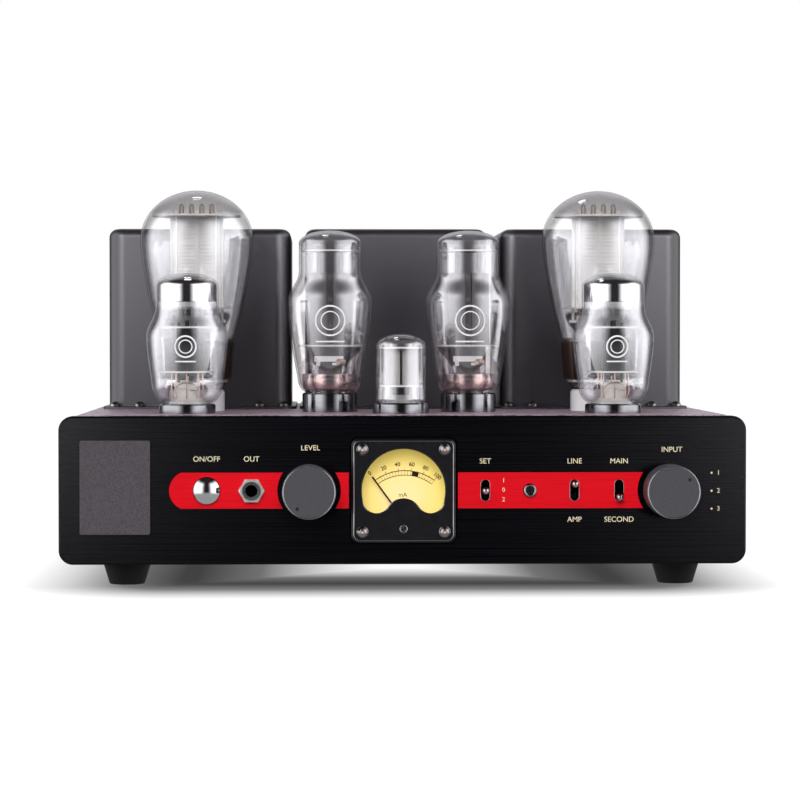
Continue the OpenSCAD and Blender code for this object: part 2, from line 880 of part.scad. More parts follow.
module cover(x) {
    color([0.23, 0.215, 0.235]) difference() {
        translate([x, at(cover_mid_d), deck_z]) difference() {
            union() {
                hull() {
                    for (i = [0 : edge_steps]) {
                        a = 90 * i / edge_steps;
                        inset = cover_edge_r * (1 - cos(a));
                        cover_slice(inset, 0, cover_h - cover_edge_r * (1 - sin(a)));
                    }
                }
                linear_extrude(cover_t) {
                    rounded_rect(cover_w + 2 * flange_w, cover_d + 2 * flange_d, cover_r);
                }
            }
            translate([0, 0, -through]) linear_extrude(cover_h - cover_t + through) {
                rounded_rect(cover_w - 2 * cover_t, cover_d - 2 * cover_t, cover_r - cover_t);
            }
        }
        cover_screw_places() rod(0, 0, -cover_t - through, through, screw_r + screw_gap);
    }
}

module left_cover() {
    cover(-cover_pitch);
}

module center_cover() {
    cover(0);
}

module right_cover() {
    cover(cover_pitch);
}

module cover_screws() {
    color([0.75, 0.73, 0.74]) cover_screw_places() button_screw(cover_screw_len);
}

module transformer_cores() {
    window_h = core_h - limb_w;
    color([0.3, 0.3, 0.32]) for (x = cover_xs) {
        difference() {
            block(x, at(cover_mid_d), deck_z, core_w, core_d, core_h);
            for (s = [-1, 1]) {
                block(x + s * (limb_w + window_w) / 2, at(cover_mid_d), deck_z + limb_w / 2,
                    window_w, core_d + 2 * through, window_h);
            }
        }
    }
}

module transformer_windings() {
    window_h = core_h - limb_w;
    height = window_h - 2 * winding_gap;
    color([0.62, 0.4, 0.2]) for (x = cover_xs) {
        low_z = deck_z + limb_w / 2 + winding_gap;
        translate([x, at(cover_mid_d), low_z]) linear_extrude(height) difference() {
            rounded_rect(limb_w + 2 * (window_w - winding_gap), core_d + 2 * winding_wall, 4);
            square([limb_w, core_d], center = true);
        }
    }
}

// Meter

// Outline of the window: a round top, two lobes at its foot and a hump between them
function window_points() = let (
    side = asin(lobe_drop / window_r),
    lobe_x = window_r * cos(side) - lobe_r,
    reach = norm([lobe_x, hump_drop - lobe_drop]),
    hump_r = reach - lobe_r,
    tilt = atan2(hump_drop - lobe_drop, lobe_x)) concat(
    arc([0, 0], [window_r, window_r], -side, 180 + side, 48),
    between_ends(arc([-lobe_x, -lobe_drop], [lobe_r, lobe_r], 180, 360 - tilt, 16)),
    arc([0, -hump_drop], [hump_r, hump_r], 180 - tilt, tilt, 16),
    between_ends(arc([lobe_x, -lobe_drop], [lobe_r, lobe_r], 180 + tilt, 360, 16)));

function between_ends(pts) = [for (i = [1 : len(pts) - 2]) pts[i]];

module window_outline() {
    translate([0, axis_z]) polygon(window_points());
}

module bezel_outline(inset) {
    translate([0, axis_z]) rounded_rect(bezel_w - 2 * inset, bezel_w - 2 * inset, bezel_r - inset);
}

module meter_bezel() {
    color([0.06, 0.06, 0.07]) difference() {
        hull() {
            face_plate(bezel_edge - bezel_proud, bezel_proud + pocket_d - bezel_edge) {
                bezel_outline(0, $fn = 48);
            }
            face_plate(-bezel_proud, bezel_proud + pocket_d) bezel_outline(bezel_edge, $fn = 48);
        }
        face_plate(-bezel_proud - through, bezel_proud + pocket_d + 2 * through) window_outline();
        bar(0, axis_z, pocket_d - lens_t - seat_gap, pocket_d + through, lens_r + seat_gap);
        bezel_screw_places() bar(0, 0, -bezel_proud - through, pocket_d + through, screw_r + screw_gap);
        bar(0, axis_z - zero_drop, -bezel_proud - through, 0, zero_r + running_gap);
    }
}

module meter_lens() {
    color([0.9, 0.92, 0.9, 0.3]) bar(0, axis_z, pocket_d - lens_t, pocket_d, lens_r);
}

module meter_case() {
    color([0.1, 0.1, 0.1]) difference() {
        union() {
            difference() {
                bar(0, axis_z, pocket_d, case_d, case_r);
                bar(0, axis_z, pocket_d - through, case_d - case_t, case_r - case_t);
            }
            face_plate(dial_d + dial_t, case_d - dial_d - dial_t) translate([0, axis_z - pivot_drop + 3]) {
                square(movement, center = true);
            }
        }
        bar(0, axis_z - pivot_drop, dial_d, dial_d + 8, staff_r + running_gap);
    }
}

module meter_dial() {
    color([0.87, 0.8, 0.42]) difference() {
        bar(0, axis_z, dial_d, dial_d + dial_t, case_r - case_t - hole_gap);
        bar(0, axis_z - pivot_drop, dial_d - through, dial_d + dial_t + through, 2 * staff_r);
    }
}

module meter_screws() {
    color([0.75, 0.73, 0.74]) bezel_screw_places() facing(0, -bezel_proud, 0) {
        button_screw(bezel_proud + panel_t - 2);
    }
}

module meter_needle() {
    color([0.08, 0.06, 0.05]) {
        bar(0, axis_z - pivot_drop, needle_d, dial_d + 7.5, staff_r);
        facing(0, needle_d + needle_t, axis_z - pivot_drop) rotate([0, 0, needle_rest]) {
            cylinder(r = hub_r, h = needle_t);
            translate([-needle_w / 2, -needle_tail, 0]) cube([needle_w, needle_tail + needle_len, needle_t]);
        }
    }
}

module meter_zero_screw() {
    color([0.15, 0.15, 0.16]) difference() {
        bar(0, axis_z - zero_drop, -bezel_proud - zero_lift, -running_gap, zero_r);
        facing(0, -bezel_proud - zero_lift + zero_slot_d, axis_z - zero_drop) rotate([0, 0, 40]) {
            translate([-zero_r - 1, -zero_slot_w / 2, 0]) {
                cube([2 * zero_r + 2, zero_slot_w, zero_slot_d + 1]);
            }
        }
    }
}

// Controls

module knob(x, dot_angle) {
    color([0.28, 0.27, 0.29]) facing(x, -knob_gap, axis_z) difference() {
        rotate_extrude() polygon([[0, 0], [knob_r - knob_edge, 0], [knob_r, knob_edge],
            [knob_r, knob_h - knob_edge], [knob_r - knob_edge, knob_h], [0, knob_h]]);
        translate([0, 0, -through]) cylinder(r = knob_recess_r, h = knob_recess_d + through);
        cylinder(r = shaft_r, h = knob_recess_d + knob_bore_d);
        rotate([0, 0, dot_angle]) translate([dot_ring_r, 0, knob_h - dot_depth]) {
            cylinder(r = dot_r, h = dot_depth + through);
        }
    }
}

module knob_shaft(x) {
    color([0.7, 0.7, 0.7]) {
        bar(x, axis_z, -knob_gap - knob_recess_d - knob_bore_d, shaft_end_d, shaft_r);
    }
}

// Can behind the front wall with a threaded bush and nut, bored for its shaft
module shaft_control(x, can_radius, can_depth) {
    difference() {
        union() {
            bar(x, axis_z, wall_d, wall_d + can_depth, can_radius);
            bar(x, axis_z, -bush_reach, wall_d, bush_r);
            facing(x, 0, axis_z) cylinder(r = bush_r + 2.4, h = nut_t, $fn = 6);
        }
        bar(x, axis_z, -bush_reach - through, shaft_end_d + 1, shaft_r + running_gap);
    }
}

module volume_knob() {
    knob(-volume_x, volume_dot);
}

module selector_knob() {
    knob(selector_x, selector_dot);
}

module volume_shaft() {
    knob_shaft(-volume_x);
}

module selector_shaft() {
    knob_shaft(selector_x);
}

module volume_pot() {
    color([0.55, 0.55, 0.53]) shaft_control(-volume_x, pot_r, pot_d);
}

module selector_switch() {
    color([0.5, 0.42, 0.3]) difference() {
        shaft_control(selector_x, wafer_r, wafer_d);
        for (i = [1 : wafer_count]) {
            bar_d = wafer_d / (wafer_count + 1) * i + wafer_t;
            difference() {
                bar(selector_x, axis_z, wall_d + bar_d - wafer_t, wall_d + bar_d + wafer_t,
                    wafer_r + through);
                bar(selector_x, axis_z, wall_d, wall_d + wafer_d, spacer_r);
            }
        }
    }
}

module power_button() {
    rim = button_h * 0.45;
    dome_h = button_h - rim;
    dome_r = (button_r * button_r + dome_h * dome_h) / (2 * dome_h);
    color([0.85, 0.85, 0.87]) {
        bar(-power_button_x, axis_z, -rim, button_skirt_d, button_r);
        bar(-power_button_x, axis_z, button_skirt_d, wall_d + button_stem_len, stem_r);
        facing(-power_button_x, -rim, axis_z) rotate_extrude() intersection() {
            translate([0, dome_h - dome_r]) circle(dome_r);
            square([button_r, dome_h]);
        }
    }
}

module power_switch() {
    color([0.1, 0.1, 0.11]) difference() {
        translate([-power_button_x - switch_size[0] / 2, at(wall_d), axis_z - switch_size[2] / 2]) {
            cube(switch_size);
        }
        bar(-power_button_x, axis_z, wall_d - through, wall_d + button_stem_len + button_travel + 1,
            stem_r + running_gap);
    }
}

module headphone_jack() {
    color([0.7, 0.69, 0.68]) difference() {
        union() {
            translate([-jack_x - jack_body[0] / 2, at(wall_d), axis_z - jack_body[2] / 2]) cube(jack_body);
            bar(-jack_x, axis_z, -jack_front, wall_d, jack_bush_r);
        }
        bar(-jack_x, axis_z, -jack_front - through, wall_d + jack_body[1] - 2, jack_bore_r);
    }
}

module headphone_nut() {
    color([0.82, 0.8, 0.79]) facing(-jack_x, -strip_proud, axis_z) difference() {
        intersection() {
            cylinder(r = jack_nut_af / sqrt(3), h = jack_nut_t, $fn = 6);
            rotate_extrude() polygon([[0, 0], [jack_nut_af, 0], [jack_nut_af, jack_nut_t * 0.4],
                [jack_nut_af / 2, jack_nut_t], [0, jack_nut_t]]);
        }
        translate([0, 0, -through]) cylinder(r = jack_bush_r + running_gap, h = jack_nut_t + 2 * through);
    }
}

module toggle_lever(x, side) {
    len = pivot_d + toggle_reach;
    color([0.85, 0.85, 0.87]) translate([x, at(pivot_d), axis_z]) rotate([90 - side * toggle_swing, 0, 0]) {
        sphere(ball_r);
        cylinder(r1 = lever_root_r, r2 = toggle_tip_r, h = len - toggle_tip_r);
        translate([0, 0, len - toggle_tip_r]) sphere(toggle_tip_r);
    }
}

module bias_toggle_lever() {
    toggle_lever(bias_toggle_x, 0);
}

module mode_toggle_lever() {
    toggle_lever(mode_toggle_x, 1);
}

module output_toggle_lever() {
    toggle_lever(output_toggle_x, -1);
}

module toggle_bodies() {
    color([0.15, 0.25, 0.4]) for (x = [bias_toggle_x, mode_toggle_x, output_toggle_x]) {
        difference() {
            translate([x - toggle_body[0] / 2, at(wall_d), axis_z - toggle_body[2] / 2]) cube(toggle_body);
            translate([x, at(pivot_d), axis_z]) sphere(ball_r + running_gap);
            face_plate(wall_d - through, pivot_d - wall_d + through) translate([x, axis_z]) {
                upright_slot(slot_w, slot_h);
            }
        }
    }
}

module bias_trim_shaft() {
    color([0.6, 0.58, 0.55]) difference() {
        bar(trim_x, axis_z, -strip_proud - trim_reach + 0.4, shaft_end_d - 6, trim_shaft_r);
        facing(trim_x, -strip_proud - trim_reach + 0.4 + trim_slot_d, axis_z) rotate([0, 0, 90]) {
            translate([-trim_shaft_r - 1, -trim_slot_w / 2, 0]) {
                cube([2 * trim_shaft_r + 2, trim_slot_w, trim_slot_d + 1]);
            }
        }
    }
}

module bias_trim_pot() {
    color([0.75, 0.73, 0.72]) difference() {
        union() {
            translate([trim_x - trim_pot[0] / 2, at(wall_d), axis_z - trim_pot[2] / 2]) cube(trim_pot);
            bar(trim_x, axis_z, -strip_proud - trim_reach, wall_d, trim_bush_r);
        }
        bar(trim_x, axis_z, -strip_proud - trim_reach - through, shaft_end_d - 5.5,
            trim_shaft_r + running_gap);
    }
}

// Tube glass

// Points of an elliptic arc about c with radii rr, from angle a0 to a1
function arc(c, rr, a0, a1, n) = [for (i = [0 : n]) let (a = a0 + (a1 - a0) * i / n)
    [c[0] + rr[0] * cos(a), c[1] + rr[1] * sin(a)]];

// Rising points from a narrow foot to a wide belly, upright at the belly
function flare(r0, z0, r1, z1, n) = [for (i = [1 : n]) let (t = i / n)
    [r1 - (r1 - r0) * pow(1 - t, 1.5), z0 + (z1 - z0) * t]];

// Rising points of a shoulder, upright at both ends
function shoulder(r0, z0, r1, z1, n) = [for (i = [1 : n]) let (t = i / n)
    [r1 + (r0 - r1) * (1 + cos(180 * t)) / 2, z0 + (z1 - z0) * t]];

// Outline moved inwards by the glass' thickness; the last point lies on the axis
function moved_in(pts, t) = [for (i = [0 : len(pts) - 1]) let (
    a = pts[max(i - 1, 0)],
    b = i == len(pts) - 1 ? [-pts[i - 1][0], pts[i - 1][1]] : pts[i + 1],
    v = (b - a) / norm(b - a)) pts[i] - t * [v[1], -v[0]]];

function reversed(pts) = [for (i = [len(pts) - 1 : -1 : 0]) pts[i]];

// Bulb outline from its foot to its top: foot curve, flare, shoulder, dome
function bulb_outline(neck, foot_z, low, belly, top, dome_h, top_z) = concat(
    arc([neck, low[1]], [low[0] - neck, low[1] - foot_z], -90, 0, 6),
    flare(low[0], low[1], belly[0], belly[1], 8),
    top[1] > belly[1] ? shoulder(belly[0], belly[1], top[0], top[1], 8) : [],
    arc([0, top_z - dome_h], [top[0], dome_h], top_z - dome_h > top[1] ? 0 : 90 / 12, 90, 12));

module bulb(x, d, outline, neck, neck_z) {
    inner = moved_in(outline, glass_t);
    foot = outline[0];
    color([0.85, 0.9, 0.9, 0.35]) translate([x, at(d), 0]) rotate_extrude() {
        polygon(concat(outline, reversed(inner)));
        translate([neck - glass_t, neck_z]) square([glass_t, foot[1] + glass_t - neck_z]);
    }
}

module left_power_tube_glass() {
    bulb(-power_x, power_d, power_outline, power_neck_r, power_neck_z);
}

module right_power_tube_glass() {
    bulb(power_x, power_d, power_outline, power_neck_r, power_neck_z);
}

module left_middle_tube_glass() {
    bulb(-middle_x, middle_d, middle_outline, neck_r, octal_neck_z);
}

module right_middle_tube_glass() {
    bulb(middle_x, middle_d, middle_outline, neck_r, octal_neck_z);
}

module left_front_tube_glass() {
    bulb(-front_x, front_d, front_outline, neck_r, octal_neck_z);
}

module right_front_tube_glass() {
    bulb(front_x, front_d, front_outline, neck_r, octal_neck_z);
}

module center_tube_glass() {
    bulb(0, center_d, center_outline, neck_r, octal_neck_z);
}

// Tube bases and sockets

function octal_places() = [[-middle_x, at(middle_d)], [middle_x, at(middle_d)],
    [-front_x, at(front_d)], [front_x, at(front_d)], [0, at(center_d)]];

module pin_ring(count, ring_r) {
    for (i = [0 : count - 1]) {
        rotate([0, 0, 360 * (i + 0.5) / count]) translate([ring_r, 0, 0]) children();
    }
}

// Cup that holds the glass, with a collar on the deck, a spigot below it and contact pins
module octal_base(x, d, collar_h) {
    top_z = deck_z + collar_h;
    color([0.72, 0.72, 0.74]) translate([x, at(d), 0]) {
        difference() {
            rotate_extrude() polygon([[0, seat_z], [spigot_r, seat_z], [spigot_r, deck_z], [collar_r, deck_z],
                [collar_r, top_z - collar_edge], [collar_r - collar_edge, top_z], [0, top_z]]);
            rod(0, 0, seat_z + cup_floor, top_z + through, neck_r + seat_gap);
        }
        pin_ring(octal_pins, pin_ring_r) rod(0, 0, seat_z - pin_len, seat_z + 0.5, pin_r);
    }
}

module middle_tube_bases() {
    for (s = [-1, 1]) {
        octal_base(s * middle_x, middle_d, middle_collar_h);
    }
}

module front_tube_bases() {
    for (s = [-1, 1]) {
        octal_base(s * front_x, front_d, front_collar_h);
    }
}

module center_tube_base() {
    octal_base(0, center_d, center_collar_h);
}

module octal_sockets() {
    color([0.16, 0.15, 0.14]) for (p = octal_places()) {
        translate([p[0], p[1], 0]) difference() {
            union() {
                rod(0, 0, deck_low_z - socket_flange_t, deck_low_z, socket_flange_r);
                rod(0, 0, socket_low_z, deck_low_z - socket_flange_t, socket_body_r);
            }
            rod(0, 0, seat_z, deck_low_z + through, spigot_r + hole_gap);
            pin_ring(octal_pins, pin_ring_r) {
                rod(0, 0, socket_low_z - through, seat_z + through, pin_r + pin_gap);
            }
        }
    }
}

module power_tube_bases() {
    low_z = deck_z + power_socket_h;
    top_z = low_z + power_base_h;
    color([0.2, 0.11, 0.07]) for (s = [-1, 1]) {
        translate([s * power_x, at(power_d), 0]) {
            difference() {
                rotate_extrude() polygon([[0, low_z], [power_socket_r - 2, low_z],
                    [power_socket_r - 2, low_z + 1], [power_base_r - 1.5, low_z + 1 + power_chamfer],
                    [power_base_r, top_z - 1],
                    [power_base_r - 0.6, top_z], [0, top_z]]);
                rod(0, 0, low_z + power_floor, top_z + through, power_neck_r + seat_gap);
            }
            pin_ring(power_pins, power_pin_ring_r) rod(0, 0, low_z - power_pin_len, low_z + 0.5, power_pin_r);
        }
    }
}

module power_tube_sockets() {
    top_z = deck_z + power_socket_h;
    color([0.95, 0.94, 0.95]) for (s = [-1, 1]) {
        translate([s * power_x, at(power_d), 0]) difference() {
            union() {
                translate([0, 0, deck_z]) rotate_extrude() {
                    square([power_socket_r - socket_round, power_socket_h]);
                    square([power_socket_r, power_socket_h - socket_round]);
                    translate([power_socket_r - socket_round, power_socket_h - socket_round]) {
                        intersection() {
                            circle(socket_round);
                            square(socket_round);
                        }
                    }
                }
                rod(0, 0, power_socket_low_z, deck_z, power_spigot_r);
            }
            pin_ring(power_pins, power_pin_ring_r) {
                rod(0, 0, power_socket_low_z - through, top_z + through, power_pin_r + pin_gap);
            }
        }
    }
}

// Electrodes

// Flared glass foot with a flat pinch that holds the support wires
module stem(r, z0, h, pinch_w) {
    rotate_extrude() polygon([[0, z0], [r, z0], [r, z0 + 1.5], [pinch_w * 0.34, z0 + h * 0.6],
        [pinch_w * 0.34, z0 + h * 0.75], [0, z0 + h * 0.75]]);
    block(0, 0, z0 + h * 0.6, pinch_w, pinch_w * 0.3, h * 0.4);
}

module mica(r, z) {
    rod(0, 0, z, z + mica_t, r);
}

// Open box of sheet with stiffening ribs down its middle
module anode(x, w, d, z0, z1, wall) {
    difference() {
        union() {
            block(x, 0, z0, w, d, z1 - z0);
            block(x, 0, z0, 2 * wall, d + 2 * wall, z1 - z0);
        }
        block(x, 0, z0 - through, w - 2 * wall, d - 2 * wall, z1 - z0 + 2 * through);
    }
}

module power_tube_electrodes() {
    stem_z = deck_z + power_socket_h + power_floor;
    low_z = deck_z + power_cage_h;
    high_z = deck_z + power_wide_h + power_mica_rise;
    color([0.6, 0.6, 0.6]) for (s = [-1, 1]) {
        translate([s * power_x, at(power_d), 0]) {
            stem(power_neck_r - glass_t - mica_gap, stem_z, low_z - stem_z - 4, 1.74 * power_side_x);
            mica(1.377 * power_side_x, low_z);
            mica(0.78 * power_bulb_r, high_z);
            anode(0, 2 * power_side_x - 2, 0.87 * power_side_x, low_z + mica_t, high_z, 0.8);
            for (x = [-power_side_x, power_side_x]) {
                rod(x, 0, low_z - 8, high_z + 3, rod_r);
                block(x * 0.96, 0, low_z + mica_t, 2.2, 0.8, high_z - low_z - mica_t);
                block(x * 0.9, 0, low_z - 8, 0.5 * power_side_x, 1.6, 1.6);
            }
            for (x = power_wire_xs) {
                rod(x, 0, low_z - 4.1, high_z + mica_t + hook_h, 0.5);
            }
        }
    }
}

module octal_stem(z1) {
    stem(neck_r - glass_t - mica_gap, seat_z + cup_floor, z1 - seat_z - cup_floor, 1.083 * neck_r);
}

module middle_tube_electrodes() {
    low_z = deck_z + middle_cage_h;
    high_z = deck_z + middle_top_h - 11.5;
    stem_top_z = low_z - stem_below_cage[0];
    color([0.55, 0.55, 0.55]) for (s = [-1, 1]) {
        translate([s * middle_x, at(middle_d), 0]) {
            octal_stem(stem_top_z);
            mica(0.744 * middle_bulb_r, low_z);
            mica(middle_top_r - glass_t - mica_gap, high_z);
            for (x = [-middle_plate_x, middle_plate_x]) {
                anode(x, middle_plate[0], middle_plate[1], low_z + mica_t, high_z - middle_plate_drop, 0.8);
                rod(x, 0, stem_top_z - 2, high_z + 3, rod_r);
                rod(0.83 * x, 0, stem_top_z - 6, low_z + 2, rod_r);
            }
        }
    }
}

module front_tube_electrodes() {
    low_z = deck_z + front_cage_h;
    high_z = deck_z + front_belly_h + 5;
    stem_top_z = low_z - stem_below_cage[1];
    color([0.09, 0.09, 0.095]) for (s = [-1, 1]) {
        translate([s * front_x, at(front_d), 0]) {
            octal_stem(stem_top_z);
            for (z = [low_z, high_z]) {
                mica(0.828 * front_top_r, z);
            }
            for (y = [-front_plate_y, front_plate_y]) {
                translate([0, y, 0]) {
                    anode(0, front_plate[0], front_plate[1], low_z + mica_t, high_z, 0.8);
                    rod(0, 0, low_z - 2, high_z + 4, rod_r);
                }
            }
            for (x = [-0.45, 0.45] * front_plate[0]) {
                rod(x, 0, stem_top_z - 3, high_z + 3, rod_r);
            }
        }
    }
}

module center_tube_electrodes() {
    low_z = deck_z + center_cage_h;
    high_z = deck_z + center_top_h - 8;
    stem_top_z = low_z - stem_below_cage[2];
    color([0.6, 0.6, 0.6]) translate([0, at(center_d), 0]) {
        octal_stem(stem_top_z);
        for (z = [low_z, high_z]) {
            mica(center_bulb_r - glass_t - 2 * mica_gap, z);
        }
        for (x = [-center_plate_x, center_plate_x]) {
            anode(x, center_plate[0], center_plate[1], low_z + mica_t, high_z, 0.7);
            rod(x, 0, stem_top_z - 2, high_z + 3, rod_r);
        }
    }
}

// Inside the chassis

module circuit_board() {
    color([0.12, 0.3, 0.18]) {
        block(0, board_mid_y, board_z, board_w, board_d, board_t);
        for (sx = [-1, 1], sy = [-1, 1]) {
            rod(sx * (board_w / 2 - board_inset), board_mid_y + sy * (board_d / 2 - board_inset), bottom_z,
                board_z + 0.5, standoff_r);
        }
        for (i = [0 : resistor_rows - 1], sx = [-1, 1]) {
            resistor_y = at(board_front_d + resistor_margin + resistor_pitch * i);
            resistor_z = board_z + board_t + resistor_r - 0.3;
            translate([sx * resistor_x - resistor_len / 2, resistor_y, resistor_z]) {
                rotate([0, 90, 0]) cylinder(r = resistor_r, h = resistor_len);
            }
        }
    }
}

module filter_capacitors() {
    color([0.2, 0.22, 0.3]) for (x = can_xs) {
        rod(x, at(can_d), board_z + board_t, board_z + board_t + can_h, can_r);
    }
}

// Rear sockets

function input_xs() = [for (i = [0 : input_columns - 1]) -input_x + i * input_pitch_x];

module input_jacks() {
    flange_t = 1.5;
    color([0.8, 0.65, 0.3]) for (x = input_xs(), sz = [-1, 1]) {
        z = axis_z + sz * input_pitch_z / 2;
        difference() {
            union() {
                bar(x, z, rear_d - sheet_t - input_inside, rear_d, input_body_r);
                bar(x, z, rear_d, rear_d + flange_t, input_flange_r);
                bar(x, z, rear_d + flange_t, rear_d + flange_t + input_barrel_len, input_barrel_r);
            }
            bar(x, z, rear_d, rear_d + flange_t + input_barrel_len + through, input_core_r);
        }
    }
}

module mains_inlet() {
    outer = inlet_mouth + 2 * inlet_shell * [1, 1];
    color([0.07, 0.07, 0.07]) {
        difference() {
            union() {
                face_plate(rear_d, inlet_flange[2]) translate([inlet_x, axis_z]) {
                    rounded_rect(inlet_flange[0], inlet_flange[1], 4);
                }
                face_plate(rear_d + inlet_flange[2] - inlet_depth - inlet_shell, inlet_depth + inlet_shell) {
                    translate([inlet_x, axis_z]) square(outer, center = true);
                }
            }
            face_plate(rear_d + inlet_flange[2] - inlet_depth, inlet_depth + through) {
                translate([inlet_x, axis_z]) square(inlet_mouth, center = true);
            }
        }
        for (i = [-1, 0, 1]) {
            z = axis_z + (i == 0 ? blade_offset : -blade_offset);
            translate([inlet_x + i * blade_pitch / 2 - blade[0] / 2,
                at(rear_d + inlet_flange[2] - inlet_depth) - 0.5, z - blade[2] / 2]) cube(blade);
        }
    }
}

module speaker_terminals() {
    color([0.5, 0.1, 0.1]) for (sx = [-1, 1], x = post_x) {
        difference() {
            union() {
                bar(sx * x, axis_z, rear_d - sheet_t - post_inside, rear_d, post_stud_r);
                bar(sx * x, axis_z, rear_d - sheet_t - 4, rear_d - sheet_t, post_collar_r - 1);
                bar(sx * x, axis_z, rear_d, rear_d + post_collar_t, post_collar_r);
                bar(sx * x, axis_z, rear_d + post_collar_t, rear_d + post_reach, post_neck_r);
                bar(sx * x, axis_z, rear_d + post_collar_t + 3, rear_d + post_reach, post_r);
            }
            bar(sx * x, axis_z, rear_d + post_reach - post_bore_d, rear_d + post_reach + through, post_bore_r);
        }
    }
}

front_panel();
accent_strips();
badge_plate();
chassis_frame();
rear_panel();
deck();
bottom_plate();
feet();
chassis_screws();
left_cover();
center_cover();
right_cover();
cover_screws();
transformer_cores();
transformer_windings();
meter_bezel();
meter_case();
meter_dial();
meter_lens();
meter_screws();
meter_needle();
meter_zero_screw();
power_button();
power_switch();
headphone_jack();
headphone_nut();
volume_knob();
volume_shaft();
volume_pot();
selector_knob();
selector_shaft();
selector_switch();
bias_toggle_lever();
mode_toggle_lever();
output_toggle_lever();
toggle_bodies();
bias_trim_shaft();
bias_trim_pot();
left_power_tube_glass();
right_power_tube_glass();
power_tube_bases();
power_tube_electrodes();
power_tube_sockets();
left_middle_tube_glass();
right_middle_tube_glass();
middle_tube_bases();
middle_tube_electrodes();
left_front_tube_glass();
right_front_tube_glass();
front_tube_bases();
front_tube_electrodes();
center_tube_glass();
center_tube_base();
center_tube_electrodes();
octal_sockets();
filter_capacitors();
circuit_board();
mains_inlet();
input_jacks();
speaker_terminals();
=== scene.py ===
"""Looks of a tube integrated amplifier, built round its packed construction model.

Lengths are millimetres until a mesh is written, +X is right, +Y is to the rear and +Z is up.
"""

import json
import logging
import math
from dataclasses import dataclass, field
from enum import Enum
from typing import Iterable, Iterator, Sequence

import bpy
from mathutils import Matrix, Vector

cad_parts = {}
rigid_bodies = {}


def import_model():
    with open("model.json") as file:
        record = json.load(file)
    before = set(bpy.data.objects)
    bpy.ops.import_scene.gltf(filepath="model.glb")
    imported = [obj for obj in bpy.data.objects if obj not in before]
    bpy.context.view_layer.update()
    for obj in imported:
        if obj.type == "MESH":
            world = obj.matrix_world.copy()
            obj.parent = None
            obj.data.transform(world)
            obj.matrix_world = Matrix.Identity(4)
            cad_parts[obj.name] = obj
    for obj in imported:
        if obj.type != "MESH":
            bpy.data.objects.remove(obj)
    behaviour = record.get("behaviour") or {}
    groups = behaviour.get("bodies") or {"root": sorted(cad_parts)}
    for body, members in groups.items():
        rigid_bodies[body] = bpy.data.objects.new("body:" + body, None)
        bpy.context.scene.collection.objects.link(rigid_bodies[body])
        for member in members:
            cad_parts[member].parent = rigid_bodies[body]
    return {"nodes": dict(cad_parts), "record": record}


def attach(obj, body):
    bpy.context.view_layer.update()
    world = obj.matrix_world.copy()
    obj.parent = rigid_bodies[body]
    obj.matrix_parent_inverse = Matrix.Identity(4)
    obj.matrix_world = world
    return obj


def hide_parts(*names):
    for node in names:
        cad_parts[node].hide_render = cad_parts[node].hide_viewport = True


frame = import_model()

logging.basicConfig(level=logging.INFO, format="%(name)s: %(message)s")
LOG = logging.getLogger("amplifier")

MM = 0.001
NODE_SHARP = 32.0
EDGE_SHARP = 35.0
FOLD_SHARP = 40.0
TURNED_SHARP = 60.0
CORNERS = ((1, 1), (-1, 1), (-1, -1), (1, -1))

Point2 = tuple[float, float]
Point3 = tuple[float, float, float]
Colour = tuple[float, float, float]
Faces = list[tuple[int, ...]]
Socket = bpy.types.NodeSocket


def node_box(node: str) -> tuple[Vector, Vector]:
    """Measures a construction node.

    Args:
        node: Name of the node.

    Returns:
        The lower and the upper corner of its box in millimetres.
    """
    verts = [v.co / MM for v in frame["nodes"][node].data.vertices]
    low = Vector([min(v[k] for v in verts) for k in range(3)])
    high = Vector([max(v[k] for v in verts) for k in range(3)])
    return low, high


def node_centre(node: str) -> Vector:
    """Returns the centre of a construction node's box in millimetres."""
    low, high = node_box(node)
    return (low + high) / 2


def joint_place(joint: str) -> Vector:
    """Returns a joint's place in millimetres."""
    joints = frame["record"]["behaviour"]["joints"]
    return Vector(next(j for j in joints if j["name"] == joint)["pos_m"]) / MM


PANEL_Y = node_box("front_panel")[0].y
AXIS_Z = joint_place("volume_turn").z
DECK_Z = node_box("deck")[1].z


def front_of(node: str) -> float:
    """Returns how far a construction node's front lies behind the panel's face."""
    return node_box(node)[0].y - PANEL_Y


class Body(str, Enum):
    """Rigid bodies of the construction model that carry visual pieces."""

    CHASSIS = "chassis"
    VOLUME = "volume_control"
    SELECTOR = "selector_control"
    TRIMMER = "bias_trimmer"
    ZERO = "zero_screw"


def linear(*display: int) -> Colour:
    """Turns display values into linear light.

    Args:
        display: Red, green and blue from 0 to 255.

    Returns:
        The same colour in linear light.
    """
    parts = [value / 255.0 for value in display]
    return tuple(p / 12.92 if p <= 0.04045 else ((p + 0.055) / 1.055) ** 2.4 for p in parts)


def scaled(colour: Colour, factor: float) -> Colour:
    """Returns a colour with every channel multiplied by factor."""
    return tuple(min(channel * factor, 1.0) for channel in colour)


# Materials


